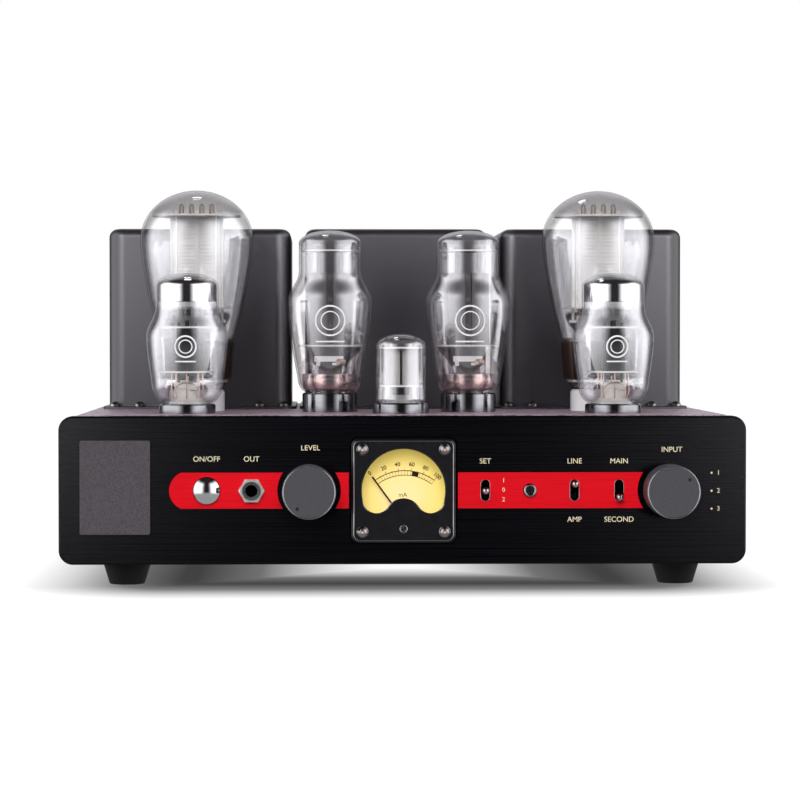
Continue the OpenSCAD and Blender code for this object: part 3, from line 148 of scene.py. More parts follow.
class Nodes:
    """Adds shader nodes to one node tree."""

    def __init__(self, tree: bpy.types.NodeTree) -> None:
        """Empties the tree.

        Args:
            tree: Node tree of a material or of a world.
        """
        self.tree = tree
        tree.nodes.clear()
        self.coords = tree.nodes.new("ShaderNodeTexCoord")

    def fill(self, target: Socket, value: object) -> None:
        """Links an input or sets its value.

        Args:
            target: Input of a node.
            value: Socket to link, or a number, vector or colour to set.
        """
        if isinstance(value, Socket):
            self.tree.links.new(value, target)
        elif target.type == "RGBA":
            target.default_value = (*value, 1.0)
        else:
            target.default_value = value

    def node(self, kind: str, **inputs: object) -> bpy.types.Node:
        """Adds a node and fills its inputs.

        Args:
            kind: Node type without the ShaderNode prefix.
            inputs: Input names, with underscores for spaces, and what fills them.

        Returns:
            The new node.
        """
        made = self.tree.nodes.new("ShaderNode" + kind)
        for key, value in inputs.items():
            self.fill(made.inputs[key.replace("_", " ")], value)
        return made

    def math(self, operation: str, *values: object, kind: str = "Math",
             result: str = "Value") -> Socket:
        """Adds a sum of numbers or vectors.

        Args:
            operation: What is done with the values.
            values: Sockets or constants, in the node's order.
            kind: Math, or VectorMath for vectors.
            result: Name of the output.

        Returns:
            The output.
        """
        made = self.node(kind)
        made.operation = operation
        for target, value in zip(made.inputs, values):
            self.fill(target, value)
        return made.outputs[result]

    def mix(self, share: object, first: Socket, second: Socket) -> Socket:
        """Mixes two shaders.

        Args:
            share: Share of the second shader.
            first: First shader.
            second: Second shader.

        Returns:
            The mixed shader.
        """
        made = self.node("MixShader", Fac=share)
        self.fill(made.inputs[1], first)
        self.fill(made.inputs[2], second)
        return made.outputs["Shader"]

    def ramp(self, factor: Socket, stops: Sequence[tuple[float, Colour]]) -> Socket:
        """Runs through colours.

        Args:
            factor: Value from 0 to 1.
            stops: Values with their colours.

        Returns:
            The colour at the factor.
        """
        made = self.node("ValToRGB", Fac=factor)
        elements = made.color_ramp.elements
        while len(elements) < len(stops):
            elements.new(0.5)
        for element, (position, colour) in zip(elements, stops):
            element.position = position
            element.color = (*colour, 1.0)
        return made.outputs["Color"]

    def span(self, factor: Socket, low: float, high: float, to_low: float = 0.0,
             to_high: float = 1.0, curve: str = "LINEAR") -> Socket:
        """Maps a value from one range to another and holds it at both ends.

        Args:
            factor: The value.
            low: Lower end of its range.
            high: Upper end of its range.
            to_low: Result at the lower end.
            to_high: Result at the upper end.
            curve: Kind of change between the ends.

        Returns:
            The mapped value.
        """
        made = self.node("MapRange", Value=factor, From_Min=low, From_Max=high, To_Min=to_low,
                         To_Max=to_high)
        made.interpolation_type = curve
        return made.outputs["Result"]

    def fade(self, factor: Socket, start: float, end: float) -> Socket:
        """Rises softly from 0 at start to 1 at end; either may be the larger.

        Args:
            factor: The value.
            start: Where the result is 0.
            end: Where the result is 1.

        Returns:
            The faded value.
        """
        low, high = sorted((start, end))
        ends = (0.0, 1.0) if start < end else (1.0, 0.0)
        return self.span(factor, low, high, *ends, curve="SMOOTHSTEP")


class Tree(Nodes):
    """Node tree of one material over object coordinates."""

    def __init__(self, name: str) -> None:
        """Makes an empty material.

        Args:
            name: Name of the material.
        """
        self.material = bpy.data.materials.new(name)
        self.material.use_nodes = True
        super().__init__(self.material.node_tree)

    def place(self, scale: Point3) -> Socket:
        """Returns object coordinates stretched by scale."""
        place = self.coords.outputs["Object"]
        return self.node("Mapping", Vector=place, Scale=scale).outputs["Vector"]

    def height(self) -> Socket:
        """Returns the object's Z coordinate in metres."""
        return self.node("SeparateXYZ", Vector=self.coords.outputs["Object"]).outputs["Z"]

    def noise(self, scale: Point3, detail: float) -> Socket:
        """Returns a noise value over stretched object coordinates."""
        place = self.place(scale)
        return self.node("TexNoise", Vector=place, Scale=1.0, Detail=detail).outputs["Fac"]

    def bump(self, factor: Socket, strength: float, distance: float) -> Socket:
        """Returns a bumped normal."""
        made = self.node("Bump", Height=factor, Strength=strength, Distance=distance)
        return made.outputs["Normal"]

    def finish(self, shader: Socket) -> bpy.types.Material:
        """Links the surface and returns the material."""
        self.node("OutputMaterial", Surface=shader)
        return self.material


@dataclass(frozen=True)
class Finish:
    """A surface finish that builds its material once.

    Attributes:
        name: Material name.
        slot: Slot of the record that it belongs to; not used.
    """

    name: str
    slot: str

    @classmethod
    def own(cls, name: str, *rest: object, **more: object) -> "Finish":
        """Returns a finish with a slot of its own name."""
        return cls(name, name, *rest, **more)

    def material(self) -> bpy.types.Material:
        """Returns the material, and builds it the first time."""
        title = "look_" + self.name
        return bpy.data.materials.get(title) or self.build(Tree(title))

    def build(self, tree: Tree) -> bpy.types.Material:
        """Builds the node tree; each kind of finish has its own."""
        raise NotImplementedError


@dataclass(frozen=True)
class Mottled(Finish):
    """Paint, plastic, rubber or metal with a fine change of tone and roughness.

    Attributes:
        colour: Mean colour.
        contrast: Change of tone to each side.
        grain: Noise cells per metre, the same all ways or along X, Y and Z.
        metallic: Metal share.
        rough: Mean roughness.
        bump: Depth of the surface grain in metres.
        specular: Level of the plain reflection.
    """

    colour: Colour
    contrast: float = 0.12
    grain: float | Point3 = 400.0
    metallic: float = 0.0
    rough: float = 0.5
    bump: float = 0.0
    specular: float = 0.5

    def build(self, tree: Tree) -> bpy.types.Material:
        """Builds the grain in tone, roughness and height.

        Args:
            tree: Empty tree of the material.

        Returns:
            The material.
        """
        cells = self.grain if isinstance(self.grain, tuple) else (self.grain,) * 3
        grain = tree.noise(cells, 3.0)
        colour = tree.ramp(grain, ((0.3, scaled(self.colour, 1.0 - self.contrast)),
                                   (0.7, scaled(self.colour, 1.0 + self.contrast))))
        rough = tree.span(grain, 0.2, 0.8, self.rough * 0.85, min(self.rough * 1.15, 1.0))
        shader = tree.node("BsdfPrincipled", Base_Color=colour, Metallic=self.metallic,
                           Roughness=rough, Specular_IOR_Level=self.specular)
        if self.bump:
            tree.fill(shader.inputs["Normal"], tree.bump(grain, 0.6, self.bump))
        return tree.finish(shader.outputs["BSDF"])


@dataclass(frozen=True)
class Speckled(Finish):
    """Two-tone hammer paint.

    Attributes:
        pale: Colour of the raised grains.
        dark: Colour between them.
        cells: Grains per metre.
        clouds: Larger patches per metre.
        rough: Roughness.
    """

    pale: Colour
    dark: Colour
    cells: float = 700.0
    clouds: float = 90.0
    rough: float = 0.45

    def build(self, tree: Tree) -> bpy.types.Material:
        """Builds grains that gather in clouds.

        Args:
            tree: Empty tree of the material.

        Returns:
            The material.
        """
        grain = tree.noise((self.cells,) * 3, 1.0)
        cloud = tree.noise((self.clouds,) * 3, 2.0)
        both = tree.math("ADD", tree.math("ADD", grain, -0.25), tree.math("MULTIPLY", cloud, 0.5))
        colour = tree.ramp(both, ((0.42, self.dark), (0.56, self.pale)))
        shader = tree.node("BsdfPrincipled", Base_Color=colour, Metallic=0.25,
                           Roughness=self.rough, Normal=tree.bump(grain, 0.5, 0.0003))
        return tree.finish(shader.outputs["BSDF"])


@dataclass(frozen=True)
class ClearGlass(Finish):
    """Thin glass: clear to look through, mirror-like at its edges, tinted by height.

    Attributes:
        edge: What one face lets through at its rim.
        shine: Mirror share of one face when seen straight on.
        rim: Mirror share of one face at its rim.
        tint: Heights in millimetres with what one face lets through there.
        haze: Heights in millimetres between which a thin film sets in, and its share on one face.
        wall: Share of pale light that the wall carries where it is seen edge-on.
        film: Colour of the film.
        pale: Colour of the wall's pale light.
    """

    edge: Colour = (0.62, 0.605, 0.605)
    shine: float = 0.085
    rim: float = 0.34
    tint: tuple[tuple[float, Colour], ...] = ((0.0, (1.0,) * 3), (220.0, (0.98,) * 3))
    haze: Point3 = (0.0, 1.0, 0.0)
    wall: float = 0.3
    film: Colour = (0.3, 0.29, 0.3)
    pale: Colour = (0.55, 0.54, 0.55)

    def build(self, tree: Tree) -> bpy.types.Material:
        """Builds the clear wall with its mirror share.

        Args:
            tree: Empty tree of the material.

        Returns:
            The material.
        """
        facing_share = tree.node("LayerWeight", Blend=0.35).outputs["Facing"]
        through = tree.ramp(facing_share, ((0.0, (0.99,) * 3), (0.6, (0.96, 0.955, 0.955)),
                                           (0.97, self.edge)))
        low, high = self.tint[0][0], self.tint[-1][0]
        level = tree.span(tree.height(), low * MM, high * MM)
        tint = tree.ramp(level, [((z - low) / (high - low), colour) for z, colour in self.tint])
        mixed = tree.node("MixRGB", Color1=through, Color2=tint, Fac=1.0)
        mixed.blend_type = "MULTIPLY"
        clear = tree.node("BsdfTransparent", Color=mixed.outputs["Color"])
        wave = tree.noise((60.0, 60.0, 25.0), 1.0)
        gloss = tree.node("BsdfGlossy", Color=(0.95, 0.95, 0.97), Roughness=0.03,
                          Normal=tree.bump(wave, 0.06, 0.002))
        slope = tree.node("LayerWeight", Blend=0.5).outputs["Facing"]
        share = tree.span(slope, 0.0, 1.0, self.shine, self.rim)
        fogged = self.fogged(tree, slope, clear.outputs["BSDF"])
        return tree.finish(tree.mix(share, fogged, gloss.outputs["BSDF"]))

    def fogged(self, tree: Tree, slope: Socket, shader: Socket) -> Socket:
        """Lays the film and the wall's pale rim over the clear shader.

        Args:
            tree: Tree of the material.
            slope: How far the surface turns away, from 0 to 1.
            shader: Clear shader.

        Returns:
            The shader with both layers.
        """
        low, high, share = self.haze
        thick = tree.math("MULTIPLY", tree.span(slope, 0.25, 0.95, share, min(1.0, 1.9 * share)),
                          tree.span(tree.height(), low * MM, high * MM))
        rim = tree.span(slope, 0.82, 0.97, 0.0, self.wall)
        for amount, colour in ((thick, self.film), (rim, self.pale)):
            layer = tree.node("BsdfDiffuse", Color=colour)
            shader = tree.mix(amount, shader, layer.outputs["BSDF"])
        return shader


@dataclass(frozen=True)
class LitDial(Finish):
    """Printed paper with a warm lamp behind it: brighter in the middle.

    Attributes:
        rim: Colour at the dial's edge.
        middle: Colour over the lamp.
        drop: Depth of the lamp below the row of controls in millimetres.
        reach: Distances from the lamp in metres between which the colour changes.
    """

    rim: Colour = linear(240, 214, 109)
    middle: Colour = linear(247, 220, 155)
    drop: float = 3.0
    reach: Point2 = (0.006, 0.023)

    def build(self, tree: Tree) -> bpy.types.Material:
        """Builds the glow round the lamp, broken by the paper's fibre.

        Args:
            tree: Empty tree of the material.

        Returns:
            The material.
        """
        lamp = (0.0, 0.0, (AXIS_Z - self.drop) * MM)
        away = tree.math("DISTANCE", tree.place((1.0, 0.0, 1.0)), lamp, kind="VectorMath")
        fibre = tree.span(tree.noise((900.0,) * 3, 2.0), 0.2, 0.8, -0.03, 0.03)
        blur = tree.math("ADD", tree.span(away, *self.reach), fibre)
        colour = tree.ramp(blur, ((0.0, self.middle), (1.0, self.rim)))
        shader = tree.node("BsdfPrincipled", Base_Color=colour, Roughness=0.7,
                           Emission_Color=colour, Emission_Strength=0.5)
        return tree.finish(shader.outputs["BSDF"])


# Meshes


def facing(x: float, depth: float, z: float) -> Matrix:
    """Returns a placement whose XY plane faces the front and whose +Z points to the viewer."""
    place = Matrix.Translation((x, PANEL_Y + depth, z))
    return place @ Matrix.Rotation(math.radians(90), 4, "X")


def arc(centre: Point2, radii: Point2, start: float, end: float, steps: int) -> list[Point2]:
    """Draws an elliptic arc.

    Args:
        centre: Centre of the ellipse.
        radii: Its two radii.
        start: First angle in degrees.
        end: Last angle in degrees.
        steps: Number of segments.

    Returns:
        The points from start to end.
    """
    points = []
    for i in range(steps + 1):
        angle = math.radians(start + (end - start) * i / steps)
        points.append((centre[0] + radii[0] * math.cos(angle),
                       centre[1] + radii[1] * math.sin(angle)))
    return points


def circle(radius: float, end: float, steps: int) -> list[Point2]:
    """Returns points of a circle round the origin, from the right as far as end."""
    return arc((0.0, 0.0), (radius, radius), 0, end, steps)


def rounded(half: Point2, radius: float, steps: int) -> list[Point2]:
    """Draws a rectangle with round corners.

    Args:
        half: Half its width and half its length.
        radius: Radius of the corners.
        steps: Segments of a corner.

    Returns:
        The points all round.
    """
    points: list[Point2] = []
    for k, (sx, sy) in enumerate(CORNERS):
        centre = (sx * (half[0] - radius), sy * (half[1] - radius))
        points += arc(centre, (radius, radius), 90 * k, 90 * k + 90, steps)
    return points


def inset(points: Sequence[Point2], wall: float) -> list[Point2]:
    """Moves an outline inwards.

    Args:
        points: Radius and height of each point; the last one lies on the axis.
        wall: How far the outline moves.

    Returns:
        The moved outline.
    """
    moved = []
    for i, (radius, z) in enumerate(points):
        ax, az = points[max(i - 1, 0)]
        before = points[i - 1]
        bx, bz = points[i + 1] if i + 1 < len(points) else (-before[0], before[1])
        length = math.hypot(bx - ax, bz - az)
        moved.append((max(radius - wall * (bz - az) / length, 0.0),
                      z + wall * (bx - ax) / length))
    moved[-1] = (0.0, points[-1][1] - wall)
    return moved


def skin(count: int, rings: int) -> Faces:
    """Joins a stack of closed rings.

    Args:
        count: Points of each ring.
        rings: Number of rings, one after the other.

    Returns:
        The faces between the rings.
    """
    faces = []
    for i in range(rings - 1):
        for k in range(count):
            n = (k + 1) % count
            low, high = i * count, (i + 1) * count
            faces.append((low + k, low + n, high + n, high + k))
    return faces


@dataclass
class Solid:
    """Collects faces in millimetres and turns them into one riding piece.

    Attributes:
        name: Name of the piece.
        place: Placement of what is added next.
        verts: Points so far.
        faces: Faces so far.
    """

    name: str
    place: Matrix = field(default_factory=lambda: Matrix.Identity(4))
    verts: list[Vector] = field(default_factory=list)
    faces: Faces = field(default_factory=list)

    def add(self, verts: Iterable[Sequence[float]], faces: Iterable[Sequence[int]]) -> None:
        """Adds faces, placed by the current placement.

        Args:
            verts: Points of the new faces.
            faces: Indices into these points.
        """
        base = len(self.verts)
        self.verts.extend(self.place @ Vector(v) for v in verts)
        self.faces.extend(tuple(base + i for i in f) for f in faces)

    def lathe(self, outline: Sequence[Point2], steps: int = 96, closed: bool = False) -> None:
        """Turns an outline of radius and height about local Z.

        Args:
            outline: Points from the lower to the upper end.
            steps: Segments round the axis.
            closed: True if the last point joins the first.
        """
        verts: list[Point3] = []
        rings: list[list[int]] = []
        for radius, z in outline:
            if radius < 1e-6:
                rings.append([len(verts)] * steps)
                verts.append((0.0, 0.0, z))
                continue
            rings.append(list(range(len(verts), len(verts) + steps)))
            for k in range(steps):
                angle = 2 * math.pi * k / steps
                verts.append((radius * math.cos(angle), radius * math.sin(angle), z))
        pairs = list(zip(rings, rings[1:]))
        if closed:
            pairs.append((rings[-1], rings[0]))
        faces = []
        for low, high in pairs:
            for k in range(steps):
                n = (k + 1) % steps
                corners = dict.fromkeys((low[k], low[n], high[n], high[k]))
                if len(corners) > 2:
                    faces.append(tuple(corners))
        self.add(verts, faces)

    def box(self, low: Point3, high: Point3) -> None:
        """Adds a box between two corners.

        Args:
            low: Lower corner.
            high: Upper corner.
        """
        xs, ys, zs = zip(low, high)
        verts = [(x, y, z) for x in xs for y in ys for z in zs]
        self.add(verts, ((0, 1, 3, 2), (4, 6, 7, 5), (0, 4, 5, 1), (2, 3, 7, 6), (0, 2, 6, 4),
                         (1, 5, 7, 3)))

    def prism(self, outline: Sequence[Point2], depth: float) -> None:
        """Adds a flat shape with a thickness along +Z.

        Args:
            outline: Points in local XY.
            depth: Thickness.
        """
        n = len(outline)
        verts = [(x, y, z) for z in (0.0, depth) for x, y in outline]
        self.add(verts, [tuple(range(n - 1, -1, -1)), tuple(range(n, 2 * n))] + skin(n, 2))

    def stroke(self, points: Sequence[Point2], width: float, depth: float) -> None:
        """Adds a line of even width.

        Args:
            points: Points in local XY.
            width: Width of the line.
            depth: Thickness along +Z.
        """
        left: list[Point2] = []
        right: list[Point2] = []
        for i, (x, y) in enumerate(points):
            ax, ay = points[max(i - 1, 0)]
            bx, by = points[min(i + 1, len(points) - 1)]
            length = math.hypot(bx - ax, by - ay)
            nx, ny = -(by - ay) / length * width / 2, (bx - ax) / length * width / 2
            left.append((x + nx, y + ny))
            right.append((x - nx, y - ny))
        n = len(points)
        verts = [(x, y, z) for z in (0.0, depth) for x, y in left + right]
        faces: Faces = []
        for i in range(n - 1):
            faces.append((2 * n + i, 3 * n + i, 3 * n + i + 1, 2 * n + i + 1))
            faces.append((i, i + 1, n + i + 1, n + i))
            faces.append((i, 2 * n + i, 2 * n + i + 1, i + 1))
            faces.append((n + i, n + i + 1, 3 * n + i + 1, 3 * n + i))
        for i in (0, n - 1):
            faces.append((i, n + i, 3 * n + i, 2 * n + i))
        self.add(verts, faces)

    def wire(self, points: Sequence[Point3], radius: float, sides: int = 10) -> None:
        """Adds a round wire.

        Args:
            points: Points along its middle.
            radius: Radius of the wire.
            sides: Segments round it.
        """
        path = [Vector(p) for p in points]
        verts: list[Vector] = []
        for i, p in enumerate(path):
            along = (path[min(i + 1, len(path) - 1)] - path[max(i - 1, 0)]).normalized()
            across = along.cross(Vector((0.3, 1.0, 0.2))).normalized()
            other = along.cross(across)
            for k in range(sides):
                angle = 2 * math.pi * k / sides
                verts.append(p + (across * math.cos(angle) + other * math.sin(angle)) * radius)
        ends = [tuple(range(sides)), tuple(range(len(verts) - sides, len(verts)))]
        self.add(verts, ends + skin(sides, len(path)))

    def loop(self, points: list[Point2], radius: float, sides: int = 10) -> None:
        """Adds a wire round a closed flat path."""
        self.wire([(x, y, 0.0) for x, y in points + points[:1]], radius, sides)

    def letters(self, text: str, size: float, depth: float, bold: float = 0.0) -> None:
        """Adds lettering in local XY, centred on the placement.

        Args:
            text: The letters.
            size: Letter size.
            depth: Thickness along +Z.
            bold: How far the strokes are widened.
        """
        curve = bpy.data.curves.new("letters", "FONT")
        curve.body = text
        curve.size = size
        curve.offset = bold
        curve.align_x = curve.align_y = "CENTER"
        curve.extrude = depth / 2
        obj = bpy.data.objects.new("letters", curve)
        bpy.context.scene.collection.objects.link(obj)
        graph = bpy.context.evaluated_depsgraph_get()
        mesh = bpy.data.meshes.new_from_object(obj.evaluated_get(graph))
        self.add([(v.co.x, v.co.y, v.co.z + depth / 2) for v in mesh.vertices],
                 [tuple(p.vertices) for p in mesh.polygons])
        bpy.data.meshes.remove(mesh)
        bpy.data.objects.remove(obj)
        bpy.data.curves.remove(curve)

    def piece(self, finish: Finish, body: Body = Body.CHASSIS, replaces: Sequence[str] = (),
              sharp: float = EDGE_SHARP) -> None:
        """Writes the mesh, gives it its finish and lets it ride.

        Args:
            finish: Surface finish.
            body: Body that carries the piece.
            replaces: Construction nodes that the piece stands for.
            sharp: Edges steeper than this many degrees stay sharp.
        """
        mesh = bpy.data.meshes.new(self.name)
        mesh.from_pydata([tuple(v * MM) for v in self.verts], [], self.faces)
        mesh.validate()
        mesh.shade_smooth()
        mesh.set_sharp_from_angle(angle=math.radians(sharp))
        mesh.materials.append(finish.material())
        obj = bpy.data.objects.new(self.name, mesh)
        bpy.context.scene.collection.objects.link(obj)
        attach(obj, body.value)
        if replaces:
            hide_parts(*replaces)
        LOG.info("piece %s: %d faces on %s", self.name, len(self.faces), body.value)


class Row:
    """Repeats a mesh along a line or round an axis with a node group."""

    GROUP = "row_of_copies"
    INPUTS = {"Geometry": "Geometry", "Count": "Int", "Step": "Vector", "Turn": "Float",
              "Material": "Material"}
    NODES = {"start": "NodeGroupInput", "end": "NodeGroupOutput", "line": "GeometryNodeMeshLine",
             "index": "GeometryNodeInputIndex", "angle": "ShaderNodeMath",
             "turn": "ShaderNodeCombineXYZ", "copies": "GeometryNodeInstanceOnPoints",
             "real": "GeometryNodeRealizeInstances", "paint": "GeometryNodeSetMaterial"}
    LINKS = (("start", "Count", "line", "Count"), ("start", "Step", "line", "Offset"),
             ("index", "Index", "angle", 0), ("start", "Turn", "angle", 1),
             ("angle", "Value", "turn", "Z"), ("line", "Mesh", "copies", "Points"),
             ("start", "Geometry", "copies", "Instance"),
             ("turn", "Vector", "copies", "Rotation"),
             ("copies", "Instances", "real", "Geometry"),
             ("real", "Geometry", "paint", "Geometry"),
             ("start", "Material", "paint", "Material"), ("paint", "Geometry", "end", "Geometry"))

    @classmethod
    def group(cls) -> bpy.types.NodeTree:
        """Makes the node group the first time.

        Returns:
            The node group.
        """
        found = bpy.data.node_groups.get(cls.GROUP)
        if found:
            return found
        tree = bpy.data.node_groups.new(cls.GROUP, "GeometryNodeTree")
        for name, kind in cls.INPUTS.items():
            tree.interface.new_socket(name, in_out="INPUT", socket_type="NodeSocket" + kind)
        tree.interface.new_socket("Geometry", in_out="OUTPUT", socket_type="NodeSocketGeometry")
        nodes = {name: tree.nodes.new(kind) for name, kind in cls.NODES.items()}
        nodes["angle"].operation = "MULTIPLY"
        for source, output, target, entry in cls.LINKS:
            tree.links.new(nodes[source].outputs[output], nodes[target].inputs[entry])
        return tree

    @classmethod
    def copies(cls, base: Solid, count: int, finish: Finish, step: Point3 = (0.0, 0.0, 0.0),
               turn: float = 0.0) -> tuple[list[Point3], Faces]:
        """Repeats a solid.

        Args:
            base: What is repeated, with no placement of its own.
            count: Number of copies.
            finish: Finish of the copies.
            step: Way from one copy to the next in millimetres.
            turn: Turn from one copy to the next about local Z in degrees.

        Returns:
            Points in millimetres and faces of all copies.
        """
        mesh = bpy.data.meshes.new(base.name)
        mesh.from_pydata([tuple(v) for v in base.verts], [], base.faces)
        obj = bpy.data.objects.new(base.name, mesh)
        bpy.context.scene.collection.objects.link(obj)
        modifier = obj.modifiers.new("row", "NODES")
        modifier.node_group = cls.group()
        values = {"Count": count, "Step": step, "Turn": math.radians(turn),
                  "Material": finish.material()}
        for item in modifier.node_group.interface.items_tree:
            if item.in_out == "INPUT" and item.name in values:
                modifier[item.identifier] = values[item.name]
        graph = bpy.context.evaluated_depsgraph_get()
        made = bpy.data.meshes.new_from_object(obj.evaluated_get(graph))
        verts = [tuple(v.co) for v in made.vertices]
        faces = [tuple(p.vertices) for p in made.polygons]
        obj.modifiers.remove(modifier)
        bpy.data.objects.remove(obj)
        bpy.data.meshes.remove(mesh)
        bpy.data.meshes.remove(made)
        return verts, faces


# Sub-assemblies


class Palette:
    """All finishes of the amplifier."""

    PANEL = Mottled.own("panel_black", (0.0014, 0.0014, 0.0024), 0.8, (10.0, 900.0, 3000.0),
                        0.1, 0.25, 0.00002, 0.055)
    STRIP = Mottled.own("strip_red", (0.70, 0.0040, 0.0120), 0.12, (40.0, 900.0, 2400.0), 0.0,
                        0.45, specular=0.2)
    BADGE = Mottled.own("badge_grey", (0.068, 0.061, 0.068), 0.4, 1500.0, 0.2, 0.6, 0.00012)
    CHASSIS = Speckled.own("chassis_paint", linear(110, 95, 108), linear(70, 56, 68))
    DECK = Speckled.own("deck_paint", linear(178, 158, 170), linear(96, 77, 88))
    BOTTOM = Mottled.own("bottom_black", (0.012, 0.012, 0.013), 0.2)
    RUBBER = Mottled.own("foot_rubber", (0.0075, 0.0075, 0.008), 0.25, 600.0, 0.0, 0.6,
                         specular=0.12)
    SCREW = Mottled.own("screw_steel", (0.22, 0.19, 0.185), 0.1, 900.0, 1.0, 0.26)
    COVER = Mottled.own("cover_paint", (0.0085, 0.0070, 0.0098), 0.16, 700.0, 0.0, 0.38, 0.00005,
                        0.62)
    CORE = Mottled.own("core_steel", (0.07, 0.07, 0.08), 0.3, (30.0, 2500.0, 30.0), 0.7, 0.45)
    COIL = Mottled.own("coil_wrap", (0.34, 0.13, 0.035), 0.2, (60.0, 60.0, 1500.0), 0.0, 0.5)
    BEZEL = Mottled.own("bezel_black", (0.0028, 0.0028, 0.0038), 0.2, 500.0, 0.0, 0.4,
                        specular=0.3)
    DIAL = LitDial.own("dial_cream")
    LENS = ClearGlass.own("lens_glass", (0.9, 0.9, 0.9), 0.012, 0.1, wall=0.0)
    KNOB = Mottled.own("knob_metal", (0.071, 0.069, 0.076), 0.22, (1700.0, 60.0, 1700.0), 0.2,
                       0.42)
    CHROME = Mottled.own("bright_chrome", (0.30, 0.295, 0.305), 0.05, 200.0, 1.0, 0.09)
    COLLAR = Mottled.own("collar_chrome", (0.20, 0.20, 0.21), 0.06, (60.0, 60.0, 900.0), 1.0, 0.12)
    SHAFT = Mottled.own("shaft_steel", (0.55, 0.53, 0.52), 0.12, (60.0, 1500.0, 60.0), 1.0, 0.25)
    NEEDLE = Mottled.own("needle_black", (0.02, 0.012, 0.008), 0.2)
    PLASTIC = Mottled.own("black_plastic", (0.01, 0.01, 0.011), 0.2, 500.0, 0.0, 0.45)
    POT = Mottled.own("pot_metal", (0.4, 0.4, 0.38), 0.15, 300.0, 0.9, 0.4)
    WAFER = Mottled.own("wafer_board", (0.22, 0.15, 0.07), 0.2, 200.0)
    GLASS = ClearGlass.own("tube_glass")
    BAKELITE = Mottled.own("bakelite", (0.022, 0.009, 0.005), 0.35, (120.0, 120.0, 60.0), 0.0, 0.2)
    CERAMIC = Mottled.own("ceramic_white", (0.95, 0.94, 0.95), 0.02, 150.0, 0.0, 0.25)
    PLATE = Mottled.own("electrode_grey", (0.50, 0.47, 0.47), 0.12, (300.0, 300.0, 60.0), 0.4, 0.5)
    CARBON = Mottled.own("electrode_black", (0.008, 0.008, 0.009), 0.25, 600.0, 0.1, 0.55)
    SOCKET = Mottled.own("socket_black", (0.02, 0.018, 0.016), 0.2)
    CAN = Mottled.own("can_sleeve", (0.03, 0.035, 0.06), 0.2, 200.0, 0.0, 0.3)
    BOARD = Mottled.own("board_green", (0.012, 0.07, 0.025), 0.25, 500.0, 0.0, 0.35)
    GOLD_JACK = Mottled.own("jack_gold", (0.75, 0.5, 0.16), 0.1, 300.0, 1.0, 0.2)
    TERMINAL = Mottled.own("terminal_red", (0.3, 0.012, 0.012), 0.2, 300.0, 0.0, 0.3)

    GLOBE = ClearGlass("globe_glass", "tube_glass", (0.46, 0.435, 0.42), rim=0.22, wall=0.1,
                       haze=(198.8, 200.8, 0.21), film=(0.32, 0.30, 0.312))
    SHOULDERED = ClearGlass(
        "shouldered_glass", "tube_glass", haze=(178.0, 184.0, 0.24), film=(0.20, 0.188, 0.20),
        tint=((95.0, (0.52, 0.43, 0.41)), (100.0, (0.94, 0.88, 0.87)),
              (112.0, (0.985, 0.97, 0.97)), (120.0, (0.985, 0.98, 0.98)),
              (190.0, (0.96, 0.955, 0.96))))
    MIRROR = Mottled("getter_mirror", "tube_glass", (0.70, 0.685, 0.69), 0.08, 120.0, 1.0, 0.05)
    COPPER = Mottled("copper_flare", "electrode_grey", (0.58, 0.49, 0.47), 0.2,
                     (160.0, 160.0, 40.0), 0.9, 0.14)
    BRONZE = Mottled("bronze_wire", "electrode_grey", (0.30, 0.20, 0.11), 0.2, 400.0, 0.9, 0.3)
    ROSE_WIRE = Mottled("rose_wire", "electrode_black", (0.62, 0.44, 0.36), 0.15, 400.0, 0.9, 0.3)
    MICA = Mottled("mica_sheet", "electrode_grey", (0.92, 0.90, 0.88), 0.05, 200.0, 0.0, 0.4)
    BRIGHT_PLATE = Mottled("bright_plate", "electrode_grey", (0.90, 0.88, 0.87), 0.06,
                           (60.0, 60.0, 700.0), 0.05, 0.5)
    DARK_PLATE = Mottled("dark_plate", "electrode_grey", (0.20, 0.188, 0.195), 0.14,
                         (300.0, 300.0, 60.0), 0.4, 0.45)
    STEM = Mottled("stem_glass", "electrode_black", (0.88, 0.85, 0.80), 0.08, 250.0, 0.0, 0.3)
    NICKEL = Mottled("nickel_rod", "electrode_grey", (0.93, 0.92, 0.90), 0.04, 300.0, 0.2, 0.35)
    WHITE_INK = Mottled("white_ink", "tube_glass", (0.88, 0.88, 0.88), 0.05, 900.0, 0.0, 0.6)
    GOLD_INK = Mottled("gold_ink", "panel_black", linear(238, 227, 192), 0.1, 900.0, 0.0, 0.5)
    BLACK_INK = Mottled("black_ink", "dial_cream", (0.02, 0.012, 0.004), 0.2, 900.0, 0.0, 0.7)
    # Near-black painted shade for the bottoms of holes, slots and the jack's bore.
    HOLE_BLACK = Mottled("hole_black", "knob_metal", (0.004, 0.004, 0.004), 0.2, 900.0, 0.0, 0.8)
    NUT = Mottled("satin_nut", "bright_chrome", (0.56, 0.55, 0.54), 0.06, 600.0, 0.6, 0.36)
    BUTTON = Mottled("button_chrome", "bright_chrome", (0.46, 0.455, 0.46), 0.05, 200.0, 1.0, 0.08)
    RIM = Mottled("knob_rim", "knob_metal", (0.27, 0.27, 0.28), 0.08, 400.0, 1.0, 0.2)
    ROSE = Mottled("rose_socket", "screw_steel", (0.80, 0.63, 0.58), 0.08, 600.0, 0.2, 0.4)
    ZERO = Mottled("zero_screw", "bezel_black", (0.06, 0.06, 0.064), 0.15, 600.0, 0.6, 0.35)
    TRIM = Mottled("trim_steel", "shaft_steel", (0.20, 0.19, 0.19), 0.06, 400.0, 1.0, 0.2)

    BY_NODE = {"headphone_nut": NUT, "power_tube_electrodes": BRIGHT_PLATE,
               "power_button": BUTTON, "middle_tube_electrodes": DARK_PLATE,
               "meter_zero_screw": ZERO, "bias_trim_shaft": TRIM}

